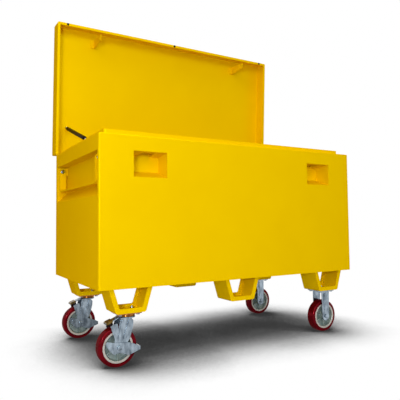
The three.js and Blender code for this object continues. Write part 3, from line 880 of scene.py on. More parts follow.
def hex_bolt(name: str, axis: Axis, centre: Sequence[float], radius: float, faces: Pair, head: float,
             thread: float) -> Piece:
    """Models a bolt with its washers and nut, clamping two faces.

    Args:
        name: The piece's name.
        axis: The axis that it runs along.
        centre: A point on its axis.
        radius: The radius of its shank.
        faces: Where the head and the nut bear, along the axis. The head is outside the first face.
        head: How high the head and the nut are.
        thread: How far the thread stands out of the nut.

    Returns:
        The bolt.
    """
    toward = 1 if faces[1] > faces[0] else -1
    nut_end = faces[1] + toward * (WASHER + head)
    parts = [
        bar("shank", axis, centre, radius, (faces[0] - toward * WASHER, nut_end), sides=24),
        bar("point", axis, centre, radius, (nut_end, nut_end + toward * thread), sides=24,
            tip_radius=radius * BOLT_POINT),
    ]
    for face, outward in ((faces[0], -toward), (faces[1], toward)):
        seat = face + outward * WASHER
        parts.append(bar("washer", axis, centre, radius * WASHER_SHARE, (face, seat)))
        nut = bar("nut", axis, centre, radius * NUT_SHARE, (seat, seat + outward * head), HEX_SIDES)
        parts.append(apply_modifier(nut, "BEVEL", width=radius * NUT_EDGE, segments=EDGE_SEGMENTS))
    return smooth(joined(name, *parts))


def joined(name: str, *pieces: Piece) -> Piece:
    """Joins pieces that are welded or pressed together into one.

    Args:
        name: The name of the whole.
        pieces: The pieces.

    Returns:
        The whole.
    """
    pick(*pieces)
    bpy.ops.object.join()
    return newest(name)


def turned_copies(piece: Piece, axis: Axis, centre: Sequence[float], count: int) -> list[Piece]:
    """Copies a piece round an axis.

    Args:
        piece: The first piece.
        axis: The axis to turn about.
        centre: A point on the axis.
        count: How many there are in all.

    Returns:
        All the pieces, the first included, each with its own mesh.
    """
    middle = Matrix.Translation(Vector(centre))
    pieces = [piece]
    for index in range(1, count):
        copy = placed(piece.name, piece.data.copy())
        turn = Matrix.Rotation(FULL_TURN * index / count, 4, axis.direction)
        copy.matrix_world = middle @ turn @ middle.inverted()
        pieces.append(settle(copy))
    return pieces


@dataclass
class Workshop:
    """The loaded frame, the finishes and the way a finished piece is handed over."""

    frame: dict[str, Any]
    finishes: Finishes

    def joint(self, name: str) -> dict[str, Any]:
        """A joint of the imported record."""
        return next(row for row in self.frame["record"]["behaviour"]["joints"] if row["name"] == name)

    def copy_node(self, node: str, *cuts: tuple[Axis, float]) -> Piece:
        """Copies a node's mesh, merges its loose triangles and clears its flat faces of needless edges.

        Args:
            node: The node's name.
            cuts: Planes through the middles of its holes, where flat faces stay parted, so that none rings a hole.

        Returns:
            The copy.
        """
        piece = placed(f"{node}_skin", self.frame["nodes"][node].data.copy())
        piece.data.materials.clear()
        bpy.context.tool_settings.mesh_select_mode = (True, False, False)
        with editing(piece):
            bpy.ops.mesh.select_all(action="SELECT")
            bpy.ops.mesh.customdata_custom_splitnormals_clear()
            bpy.ops.mesh.remove_doubles(threshold=WELD_DISTANCE)
            for axis, place in cuts:
                bpy.ops.mesh.select_all(action="SELECT")
                bpy.ops.mesh.bisect(plane_co=axis.direction * place, plane_no=axis.direction)
                bpy.ops.mesh.mark_seam()
            bpy.ops.mesh.select_all(action="SELECT")
            bpy.ops.mesh.dissolve_limited(angle_limit=math.radians(FLAT_DEG), delimit={"SEAM"})
            bpy.ops.mesh.mark_seam(clear=True)
        return piece

    def dress(self, body: str, node: str, edge: float, *cuts: tuple[Axis, float]) -> None:
        """Hands over a node's own shape with rounded edges, painted yellow.

        Args:
            body: The body that it rides on.
            node: The node's name.
            edge: How wide its edges are rounded.
            cuts: Planes through the middles of its holes.
        """
        self.hand_over(ease(self.copy_node(node, *cuts), edge), body, self.finishes.yellow, node)

    def hand_over(self, piece: Piece, body: str, coat: Coat, *nodes: str) -> None:
        """Dresses a piece and lets it ride on its body.

        Args:
            piece: The finished piece.
            body: The body that it rides on.
            coat: Its finish.
            nodes: The nodes that it replaces.
        """
        piece.data.materials.clear()
        piece.data.materials.append(coat.material)
        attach(piece, body)
        if nodes:
            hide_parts(*nodes)
        LOG.info("%s on %s: %d faces", piece.name, body, len(piece.data.polygons))


def middle_of(node: str) -> Vector:
    """The middle of a node's box."""
    low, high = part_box(node)
    return (low + high) / 2


# Chest and lid


@dataclass
class SheetMetal:
    """The folded and pressed sheet parts: each keeps its frame shape and gets the rounded edges of real sheet."""

    shop: Workshop
    edge: float = 0.7 * MM
    bolt_inset: float = 42 * MM  # from a leg's middle to the rows of its caster bolts

    def build(self) -> None:
        """Dresses every sheet part of the chest and the lid."""
        pockets = [(Axis.X, middle_of(f"{side}_lock_pocket").x) for side, _ in SIDES]
        recess = (Axis.Y, middle_of("left_handle_recess").y)
        pivot = (Axis.Z, self.shop.joint("left_handle_swing")["pos_m"][2])
        pin = (Axis.Z, middle_of("hinge_pin").z)
        self._dress("chest", "front_panel", *pockets)
        self._dress("chest", "back_panel")
        self._dress("chest", "floor_panel")
        self._dress("chest", "hinge_body_leaf", pin)
        self._dress("lid", "lid_shell", (Axis.X, 0.0))
        self._dress("lid", "hinge_lid_leaf", pin)
        for (side, _), pocket in zip(SIDES, pockets, strict=True):
            self._dress("chest", f"{side}_end_panel", recess)
            self._dress("chest", f"{side}_lock_pocket", pocket)
            self._dress("chest", f"{side}_handle_recess", pivot)
        for end, _ in ENDS:
            for place in LEG_PLACES:
                middle = middle_of(f"{end}_{place}_leg").x
                rows = [(Axis.X, middle + step * self.bolt_inset) for step in (-1, 1)]
                self._dress("chest", f"{end}_{place}_leg", *rows)

    def _dress(self, body: str, node: str, *cuts: tuple[Axis, float]) -> None:
        """Rounds the edges of one sheet part and hands it over."""
        self.shop.dress(body, node, self.edge, *cuts)


@dataclass
class Welds:
    """Painted weld stitches where the legs meet the bottom sheet, and rivets along the hinge leaves."""

    shop: Workshop
    bead: float = 2.6 * MM
    stitch: float = 46 * MM
    end_margin: float = 4 * MM
    ripple: float = 3.4 * MM
    ripple_height: float = 0.35 * MM
    ripple_points: int = 4
    rivets: int = 9
    leaf_outside: float = 3.3 * MM  # from the back panel's face to the outer face of the hinge leaf
    leaf_behind_pin: float = 6.2 * MM  # from the pin's middle to the same face
    rivet_radius: float = 4.5 * MM
    rivet_height: float = 1.8 * MM
    dome: tuple[Pair, ...] = ((0.0, 0.0), (1.0, 0.0), (0.85, 0.6), (0.45, 1.0), (0.0, 1.0))  # of radius and height
    dome_steps: int = 20
    body_row: float = -22 * MM  # from the pin to the row on the chest's leaf
    lid_row: float = 26 * MM

    def build(self) -> None:
        """Lays the stitches and sets the rivets."""
        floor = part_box("floor_panel")[0].z
        for end, _ in ENDS:
            for place in LEG_PLACES:
                low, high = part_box(f"{end}_{place}_leg")
                middle = (low.x + high.x) / 2
                half = (high.x - low.x) / 2
                beads = [
                    self._stitch((middle + side * (half - self.stitch / 2 - self.end_margin), y, floor - self.bead / 2))
                    for side in (-1, 1) for y in (low.y + self.bead / 2, high.y - self.bead / 2)
                ]
                piece = joined(f"{end}_{place}_leg_welds", *beads)
                self.shop.hand_over(piece, "chest", self.shop.finishes.yellow)
        self._rivets("hinge_body_leaf", "chest", Axis.Y, self.body_row)
        self._rivets("hinge_lid_leaf", "lid", Axis.Z, self.lid_row)

    def _stitch(self, middle: Triple) -> Piece:
        """Lays one rippled bead along X.

        Args:
            middle: The bead's middle.

        Returns:
            The bead.
        """
        steps = round(self.stitch / self.ripple) * self.ripple_points
        points = []
        for step in range(steps + 1):
            share = step / steps
            lift = self.ripple_height * math.sin(share * FULL_TURN * self.stitch / self.ripple)
            points.append((middle[0] + (share - 0.5) * self.stitch, middle[1], middle[2] + lift))
        return tube("bead", points, self.bead)

    def _rivets(self, leaf: str, body: str, axis: Axis, offset: float) -> None:
        """Sets a row of round-headed rivets on a hinge leaf.

        Args:
            leaf: The leaf's node.
            body: The body that it rides on.
            axis: The axis that the leaf is square to.
            offset: From the pin to the row.
        """
        low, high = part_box(leaf)
        pin = middle_of("hinge_pin")
        if axis is Axis.Y:
            y, z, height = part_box("back_panel")[1].y + self.leaf_outside, pin.z + offset, self.rivet_height
        else:
            y, z, height = pin.y + offset, pin.z - self.leaf_behind_pin, -self.rivet_height
        profile = [(r * self.rivet_radius, h * height) for r, h in self.dome]
        heads = [spun("rivet", axis, (low.x + (high.x - low.x) * (index + 0.5) / self.rivets, y, z), profile,
                      self.dome_steps) for index in range(self.rivets)]
        piece = smooth(joined(f"{leaf}_rivets", *heads))
        self.shop.hand_over(piece, body, self.shop.finishes.yellow)


@dataclass
class HingePin:
    """The long hinge pin, ground steel with a rounded head at each end."""

    shop: Workshop
    radius: float = 3.1 * MM
    head_radius: float = 5.2 * MM
    head: float = 3 * MM
    chamfer: Pair = (1.2 * MM, 1 * MM)  # across and along the head's outer edge
    steps: int = 32

    def build(self) -> None:
        """Spins the pin with its heads."""
        low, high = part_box("hinge_pin")
        half = (high.x - low.x) / 2
        neck = half - self.head
        across, along = self.chamfer
        end = [(self.radius, neck), (self.head_radius, neck), (self.head_radius, half - along),
               (self.head_radius - across, half), (0.0, half)]
        profile = [(0.0, -half), *[(r, -x) for r, x in reversed(end[:-1])], *end]
        pin = smooth(spun("hinge_pin_ground", Axis.X, middle_of("hinge_pin"), profile, self.steps))
        self.shop.hand_over(pin, "chest", self.shop.finishes.chrome, "hinge_pin")


@dataclass
class Bumpers:
    """Three moulded rubber bumpers on the lid's front lip: a flat foot and a domed head."""

    shop: Workshop
    radius: float = 6.5 * MM
    height: float = 5.7 * MM
    foot: float = 0.8 * MM
    dome: float = 3.4 * MM
    steps: int = 40
    open_deg: float = 87.0

    def build(self) -> None:
        """Spins each bumper upright and leans it as the open lid lies."""
        along = Matrix.Rotation(math.radians(-self.open_deg), 4, "X")
        half, centre = self.height / 2, (self.radius - self.dome, self.dome - self.height / 2)
        profile = [(0.0, half), (self.radius, half), (self.radius, self.foot), *arc(centre, self.dome, 0, -90, steps=6),
                   (0.0, -half)]
        for place in LEG_PLACES:
            node = f"{place}_lid_bumper"
            bumper = spun(f"{node}_moulded", Axis.Z, (0, 0, 0), profile, self.steps)
            bumper.matrix_world = Matrix.Translation(middle_of(node)) @ along
            self.shop.hand_over(smooth(settle(bumper)), "lid", self.shop.finishes.rubber, node)


@dataclass
class LockStrikes:
    """The two lock strikes: a plate with a padlock eye on its foot, cut by laser and painted with the lid."""

    shop: Workshop
    edge: float = 0.8 * MM

    def build(self) -> None:
        """Dresses the strikes."""
        for side, _ in SIDES:
            self.shop.dress("lid", f"{side}_lock_strike", self.edge)


@dataclass
class GasStruts:
    """Two gas struts: enamelled tube, ground rod and end sockets, their foot plates and their lid brackets."""

    shop: Workshop
    length: float = 700.6 * MM
    slope_deg: float = 18.057
    tube_start: float = 298.5 * MM
    tube_end: float = 676.6 * MM
    tube_radius: float = 11 * MM
    bore: float = 5.5 * MM
    bore_end: float = 628.6 * MM
    rod_radius: float = 5 * MM
    rod_end: float = 338.5 * MM
    socket_radius: float = 9 * MM
    socket_half: float = 12 * MM
    neck_radius: float = 5.5 * MM
    socket_near: float = 2 * MM  # chamfer towards the strut
    socket_far: float = 3 * MM  # chamfer at the strut's end
    mouth: float = 3 * MM
    crimp_start: float = 16 * MM  # from the tube's mouth
    crimp_slope: float = 1.5 * MM
    crimp_length: float = 5.5 * MM
    crimp_depth: float = 1.2 * MM
    head: float = 5 * MM
    rod_hidden: float = 2 * MM
    steps: int = 48
    bracket_edge: float = 0.8 * MM
    plate_thickness: float = 3 * MM
    plate_corner: float = 7 * MM
    plate_edge: float = 0.6 * MM
    stud_radius: float = 4 * MM
    stud_past_pivot: float = 9.3 * MM
    collar: Pair = (7 * MM, 5 * MM)
    collar_end: float = 10 * MM
    screw: Pair = (6 * MM, 4 * MM)
    screw_height: float = 3 * MM
    screw_below_top: float = 12 * MM
    screw_above_pivot: float = 22 * MM

    def build(self) -> None:
        """Models both struts."""
        finishes = self.shop.finishes
        for side, sign in SIDES:
            foot = Vector(self.shop.joint(f"{side}_strut_swing")["pos_m"])
            lie = Matrix.Translation(foot) @ Matrix.Rotation(math.radians(self.slope_deg), 4, "X")
            tube_piece = self._laid(f"{side}_tube_enamelled", self._tube_profile(), lie)
            self.shop.hand_over(tube_piece, f"{side}_tube", finishes.black, f"{side}_strut_tube")
            socket_piece = self._laid(f"{side}_upper_socket", self._upper_profile(), lie)
            self.shop.hand_over(socket_piece, f"{side}_tube", finishes.chrome)
            rod_piece = self._laid(f"{side}_rod_ground", self._rod_profile(), lie)
            self.shop.hand_over(rod_piece, f"{side}_rod", finishes.chrome, f"{side}_strut_rod")
            self._foot_plate(side, sign, foot)
            self.shop.dress("lid", f"{side}_strut_lid_bracket", self.bracket_edge)

    def _socket(self, middle: float) -> list[Pair]:
        """Profile of an end socket, from its near side to its far side.

        Args:
            middle: Where its middle lies along the strut.

        Returns:
            The profile's points.
        """
        near, far, radius = middle - self.socket_half, middle + self.socket_half, self.socket_radius
        return [(radius - self.socket_near, near), (radius, near + self.socket_near),
                (radius, far - self.socket_far), (radius - self.socket_far, far), (0.0, far)]

    def _tube_profile(self) -> list[Pair]:
        """Tube with a rolled mouth, a crimped groove and a rounded head.

        Returns:
            The profile's points.
        """
        radius, start, end, mouth, head = self.tube_radius, self.tube_start, self.tube_end, self.mouth, self.head
        waist = radius - self.crimp_depth
        crimp = start + self.crimp_start
        crimp_end = crimp + self.crimp_length
        return [
            (0.0, self.bore_end), (self.bore, self.bore_end), (self.bore, start), (radius - mouth, start),
            *arc((radius - mouth, start + mouth), mouth, -90, 0, steps=4), (radius, crimp),
            (waist, crimp + self.crimp_slope), (waist, crimp_end - self.crimp_slope), (radius, crimp_end),
            *arc((radius - head, end - head), head, 0, 90, steps=6), (0.0, end),
        ]

    def _upper_profile(self) -> list[Pair]:
        """The neck that leaves the tube's head, and the upper socket.

        Returns:
            The profile's points.
        """
        neck = self.neck_radius
        return [(0.0, self.tube_end), (neck, self.tube_end), (neck, self.length - self.socket_half),
                *self._socket(self.length)]

    def _rod_profile(self) -> list[Pair]:
        """Lower socket, then the ground rod.

        Returns:
            The profile's points.
        """
        socket = [(radius, -place) for radius, place in reversed(self._socket(0.0))]
        rod = self.rod_radius
        end = self.rod_end - self.rod_hidden
        return [*socket, (rod, self.socket_half), (rod, end), (0.0, end)]

    def _laid(self, name: str, profile: list[Pair], lie: Matrix) -> Piece:
        """Spins a profile about Y and lays it along the strut.

        Args:
            name: The piece's name.
            profile: Its profile.
            lie: Where the strut lies.

        Returns:
            The piece.
        """
        piece = spun(name, Axis.Y, (0, 0, 0), profile, self.steps)
        piece.matrix_world = lie
        return smooth(settle(piece))

    def _foot_plate(self, side: str, sign: int, foot: Vector) -> None:
        """Cuts the foot plate with round corners and adds its stud and two screws.

        Args:
            side: The strut's side.
            sign: Minus one on the left, one on the right.
            foot: The pivot of the strut.
        """
        node = f"{side}_strut_foot_plate"
        low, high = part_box(node)
        outer = high.x if sign > 0 else low.x
        inner = outer - sign * self.plate_thickness
        outline = rounded((low.y, low.z), (high.y, high.z), self.plate_corner)
        wide, narrow = self.collar
        parts = [
            ease(plate(f"{side}_foot_plate_pressed", Axis.X, outline, (outer, inner)), self.plate_edge),
            bar("stud", Axis.X, foot, self.stud_radius, (inner, foot.x - sign * self.stud_past_pivot), sides=32),
            bar("collar", Axis.X, foot, wide, (inner, foot.x + sign * self.collar_end), sides=32, tip_radius=narrow),
        ]
        wide, narrow = self.screw
        for z in (high.z - self.screw_below_top, foot.z + self.screw_above_pivot):
            span = (inner, inner - sign * self.screw_height)
            parts.append(bar("screw", Axis.X, (0, foot.y, z), wide, span, sides=28, tip_radius=narrow))
        piece = smooth(joined(f"{side}_foot_plate_pressed", *parts))
        self.shop.hand_over(piece, "chest", self.shop.finishes.zinc, node)


@dataclass
class DropHandles:
    """A drop handle of bent flat bar in each end recess, on two pivot bolts."""

    shop: Workshop
    thickness: float = 8 * MM
    corner: float = 24 * MM
    bolt_radius: float = 6 * MM
    clearance: float = 0.5 * MM
    lug: float = 6 * MM
    edge: float = 1.8 * MM
    bolt_head: float = 5.5 * MM
    bolt_thread: float = 1 * MM
    bend_steps: int = 8

    def build(self) -> None:
        """Bends the handles and sets their bolts."""
        finishes = self.shop.finishes
        for side, _ in SIDES:
            node = f"{side}_drop_handle"
            low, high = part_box(node)
            pivot = Vector(self.shop.joint(f"{side}_handle_swing")["pos_m"])
            handle = self._handle(f"{side}_handle_bar", low, high, pivot)
            self.shop.hand_over(handle, f"{side}_handle", finishes.yellow, node)
            for (end, sign), outside in zip(ENDS, (low.y, high.y), strict=True):
                near = outside - sign * (self.thickness + self.clearance)
                far = outside + sign * (self.clearance + self.lug)
                bolt = hex_bolt(f"{side}_handle_{end}_pivot", Axis.Y, pivot, self.bolt_radius, (near, far),
                                self.bolt_head, self.bolt_thread)
                self.shop.hand_over(bolt, "chest", finishes.zinc, f"{side}_handle_{end}_bolt")

    def _handle(self, name: str, low: Vector, high: Vector, pivot: Vector) -> Piece:
        """Bends one bar to a U and rounds its eyes.

        Args:
            name: The handle's name.
            low: The lowest corner of its node's box.
            high: The highest corner.
            pivot: A point on its pivot axis.

        Returns:
            The handle.
        """
        thick, corner, steps = self.thickness, self.corner, self.bend_steps
        y0, y1, z0, z1 = low.y, high.y, low.z, pivot.z

        def bend(inset: float) -> list[Pair]:
            """The U at some depth under the bar's outer face.

            Args:
                inset: The depth.

            Returns:
                The line's points.
            """
            radius = corner - inset
            return [(y0 + inset, z1), *arc((y0 + corner, z0 + corner), radius, 180, 270, steps),
                    *arc((y1 - corner, z0 + corner), radius, 270, 360, steps), (y1 - inset, z1)]

        bent = plate(name, Axis.X, [*bend(0.0), *reversed(bend(thick))], (low.x, high.x))
        radius = (high.x - low.x) / 2
        eyes = [bar("eye", Axis.Y, pivot, radius, leg, sides=64) for leg in ((y0, y0 + thick), (y1 - thick, y1))]
        hole = bar("hole", Axis.Y, pivot, self.bolt_radius + self.clearance, (y0 - thick, y1 + thick))
        return ease(carve(fuse(bent, *eyes), hole), self.edge, segments=3)


# Casters


@dataclass
class Wheel:
    """One caster wheel: a cast core with ribs, machined rims and a polyurethane tread."""

    shop: Workshop
    name: str
    rim_inside: float = 61 * MM
    rim_half: float = 23 * MM
    rim_gap: float = 0.2 * MM
    web_half: float = 6 * MM
    hub_radius: float = 18 * MM
    hub_half: float = 30 * MM
    bore: float = 6.5 * MM
    fillet: float = 5 * MM
    draft: float = 1 * MM
    chamfer: float = 2 * MM
    edge: float = 0.6 * MM
    shoulder: float = 9 * MM
    crown: float = 0.8 * MM
    inside: float = 0.05 * MM  # keeps the tread off the floor and inside its node
    rib_half: float = 17 * MM
    rib_thickness: float = 6 * MM
    rib_ends: Pair = (4 * MM, 3 * MM)  # how far a rib reaches into the hub and into the rim
    rib_edge: float = 1.5 * MM
    rib_count: int = 6
    ring_stand: float = 2.4 * MM
    ring_over_tread: float = 1.4 * MM
    ring_root: float = 1 * MM
    ring_edge: float = 1.2 * MM

    def build(self) -> None:
        """Models the wheel."""
        low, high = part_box(f"{self.name}_tyre")
        centre = (low + high) / 2
        core_low, core_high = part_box(f"{self.name}_wheel_core")
        rim = (core_high.z - core_low.z) / 2
        self._tread(centre, (high.z - low.z) / 2 - self.inside, (high.y - low.y) / 2, rim)
        self._core(centre, rim)
        self._rims(centre, rim)

    def _tread(self, centre: Vector, radius: float, half: float, rim: float) -> None:
        """Spins the tread, with round shoulders and a slight crown.

        Args:
            centre: The wheel's middle.
            radius: The tread's radius.
            half: Half its width.
            rim: The radius of the core under it.
        """
        side = arc((radius - self.crown - self.shoulder, half - self.shoulder), self.shoulder, 90, 0)
        mirrored = [(r, -y) for r, y in reversed(side)]
        profile = [(rim, half), *side, (radius, 0.0), *mirrored, (rim, -half)]
        piece = smooth(spun(f"{self.name}_tread", Axis.Y, centre, profile))
        self.shop.hand_over(piece, f"{self.name}_wheel", self.shop.finishes.red, f"{self.name}_tyre")

    def _core(self, centre: Vector, rim: float) -> None:
        """Spins rim, web and hub in one and fuses the ribs to them.

        Args:
            centre: The wheel's middle.
            rim: The core's radius.
        """
        hub, inner, web, fillet, draft = self.hub_radius, self.rim_inside, self.web_half, self.fillet, self.draft
        half_profile = [
            (self.bore, -self.hub_half), (hub - self.chamfer, -self.hub_half), (hub, self.chamfer - self.hub_half),
            (hub + draft, -web - fillet), (hub + fillet, -web), (inner - fillet, -web), (inner - draft, -web - fillet),
            (inner, -self.rim_half), (rim - self.rim_gap, -self.rim_half),
        ]
        profile = half_profile + [(r, -y) for r, y in reversed(half_profile)]
        core = spun(f"{self.name}_core", Axis.Y, centre, profile)
        into_hub, into_rim = self.rib_ends
        rib = block("rib", centre + Vector((hub - into_hub, -self.rib_half, -self.rib_thickness / 2)),
                    centre + Vector((inner + into_rim, self.rib_half, self.rib_thickness / 2)))
        apply_modifier(rib, "BEVEL", width=self.rib_edge, segments=EDGE_SEGMENTS)
        half_pitch = Matrix.Rotation(FULL_TURN / (2 * self.rib_count), 4, "Y")
        middle = Matrix.Translation(centre)
        rib.matrix_world = middle @ half_pitch @ middle.inverted()
        piece = ease(fuse(core, *turned_copies(settle(rib), Axis.Y, centre, self.rib_count)), self.edge)
        self.shop.hand_over(piece, f"{self.name}_wheel", self.shop.finishes.core, f"{self.name}_wheel_core")

    def _rims(self, centre: Vector, rim: float) -> None:
        """Spins the machined edge rings that show beside the tread.

        Args:
            centre: The wheel's middle.
            rim: The core's radius.
        """
        inner, outer, edge = self.rim_inside + self.rim_gap, rim + self.ring_over_tread, self.ring_edge
        rings = []
        for side in (-1, 1):
            face = side * (self.rim_half + self.ring_stand)
            back = side * (self.rim_half - self.ring_root)
            profile = [(inner, back), (inner, face - side * edge), (inner + edge, face), (outer - edge, face),
                       (outer, face - side * edge), (outer, back)]
            rings.append(spun("ring", Axis.Y, centre, profile))
        piece = smooth(joined(f"{self.name}_rim_rings", *rings))
        self.shop.hand_over(piece, f"{self.name}_wheel", self.shop.finishes.rim)


@dataclass
class TopPlate:
    """The bolted top plate of a caster, with its four bolts through the leg."""

    half_x: float = 58 * MM
    half_y: float = 52 * MM
    thickness: float = 6 * MM
    seat: float = 0.3 * MM
    corner: float = 9 * MM
    edge: float = 1.2 * MM
    leg_wall: float = 4 * MM
    inset_x: float = 16 * MM
    inset_y: float = 14 * MM
    bolt_radius: float = 5 * MM
    bolt_head: float = 5 * MM
    bolt_thread: float = 5 * MM

    def make(self, name: str, centre: Vector) -> tuple[Piece, Piece]:
        """Cuts the plate and sets its bolts.

        Args:
            name: The caster's name.
            centre: The middle of the leg's underside.

        Returns:
            The plate and its bolts.
        """
        outline = rounded((centre.x - self.half_x, centre.y - self.half_y),
                          (centre.x + self.half_x, centre.y + self.half_y), self.corner)
        top = centre.z - self.seat
        under = top - self.thickness
        steel = ease(plate(f"{name}_top_plate", Axis.Z, outline, (under, top)), self.edge)
        across, along = self.half_x - self.inset_x, self.half_y - self.inset_y
        bolts = [
            hex_bolt("bolt", Axis.Z, (centre.x + sx * across, centre.y + sy * along, 0), self.bolt_radius,
                     (under, centre.z + self.leg_wall), self.bolt_head, self.bolt_thread)
            for sx in (-1, 1) for sy in (-1, 1)
        ]
        return steel, joined(f"{name}_plate_bolts", *bolts)


@dataclass
class CasterMount:
    """What both kinds of caster share: where they stand, their axle and the side plates of their fork."""

    shop: Workshop
    name: str
    fork_half: float = 32 * MM
    fork_plate: float = 5 * MM
    fork_edge: float = 1 * MM
    axle_radius: float = 6 * MM
    axle_play: float = 0.3 * MM
    axle_head: float = 5.6 * MM
    axle_thread: float = 0.2 * MM
    drill: float = 9 * MM  # how far a hole's cutter sticks out
    emboss: float = 3.4 * MM
    emboss_root: float = 1 * MM
    emboss_edge: float = 2.6 * MM

    @property
    def hub(self) -> Vector:
        """The middle of the wheel."""
        return middle_of(f"{self.name}_tyre")

    @property
    def seat(self) -> Vector:
        """The middle of the leg's underside."""
        low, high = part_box(f"{self.name}_leg")
        return Vector(((low.x + high.x) / 2, (low.y + high.y) / 2, low.z))

    @property
    def plate_under(self) -> float:
        """The underside of the top plate."""
        return self.seat.z - TopPlate.seat - TopPlate.thickness

    def cheeks(self, outline: Sequence[Pair], *panels: Sequence[Pair]) -> list[Piece]:
        """Cuts both side plates of the fork, each with pressed panels and the axle's hole.

        Args:
            outline: The plate's outline on XZ.
            panels: The outlines of the pressed panels.

        Returns:
            The two plates.
        """
        hub = self.hub
        pieces = []
        for side in (-1, 1):
            near, far = hub.y + side * self.fork_half, hub.y + side * (self.fork_half + self.fork_plate)
            cheek = plate("cheek", Axis.Y, outline, (near, far))
            faces = (near + side * self.emboss_root, far + side * self.emboss)
            raised = [apply_modifier(plate("panel", Axis.Y, panel, faces), "BEVEL", width=self.emboss_edge, segments=3)
                      for panel in panels]
            hole = bar("hole", Axis.Y, hub, self.axle_radius + self.axle_play,
                       (near - side * self.drill, far + side * self.drill))
            pieces.append(carve(fuse(cheek, *raised), hole))
        return pieces

    def axle(self, body: str, half: float) -> None:
        """Sets the axle bolt with its washers and nut.

        Args:
            body: The body that it rides on.
            half: How far from the wheel's middle its head and its nut bear.
        """
        faces = (self.hub.y - half, self.hub.y + half)
        bolt = hex_bolt(f"{self.name}_axle_bolt", Axis.Y, self.hub, self.axle_radius, faces, self.axle_head,
                        self.axle_thread)
        self.shop.hand_over(bolt, body, self.shop.finishes.zinc, f"{self.name}_axle")


@dataclass
class RigidCaster(CasterMount):
    """The hardware of a rigid caster: one pressed fork under its top plate."""

    half_length: float = 28 * MM
    plate_lap: float = 1 * MM
    boss: float = 25 * MM
    panel_half: float = 13 * MM
    panel_above_hub: float = 34 * MM
    panel_below_plate: float = 12 * MM
    panel_corner: float = 8 * MM

    def build(self) -> None:
        """Models the fork, its plate and the axle."""
        steel, bolts = TopPlate().make(self.name, self.seat)
        hub = self.hub
        root = self.plate_under + self.plate_lap
        outline = [*arc((hub.x, hub.z), self.boss, 180, 360, steps=24), (hub.x + self.half_length, root),
                   (hub.x - self.half_length, root)]
        low, high = hub.z + self.panel_above_hub, self.plate_under - self.panel_below_plate
        left, right = hub.x - self.panel_half, hub.x + self.panel_half
        panel = softened([(left, low), (right, low), (right, high), (left, high)], self.panel_corner)
        fork = ease(fuse(steel, *self.cheeks(outline, panel)), self.fork_edge)
        fork.name = f"{self.name}_fork_pressed"
        zinc = self.shop.finishes.zinc
        self.shop.hand_over(fork, "chest", zinc, f"{self.name}_fork")
        self.shop.hand_over(bolts, "chest", zinc)
        self.axle("chest", self.fork_half + self.fork_plate + self.axle_play)


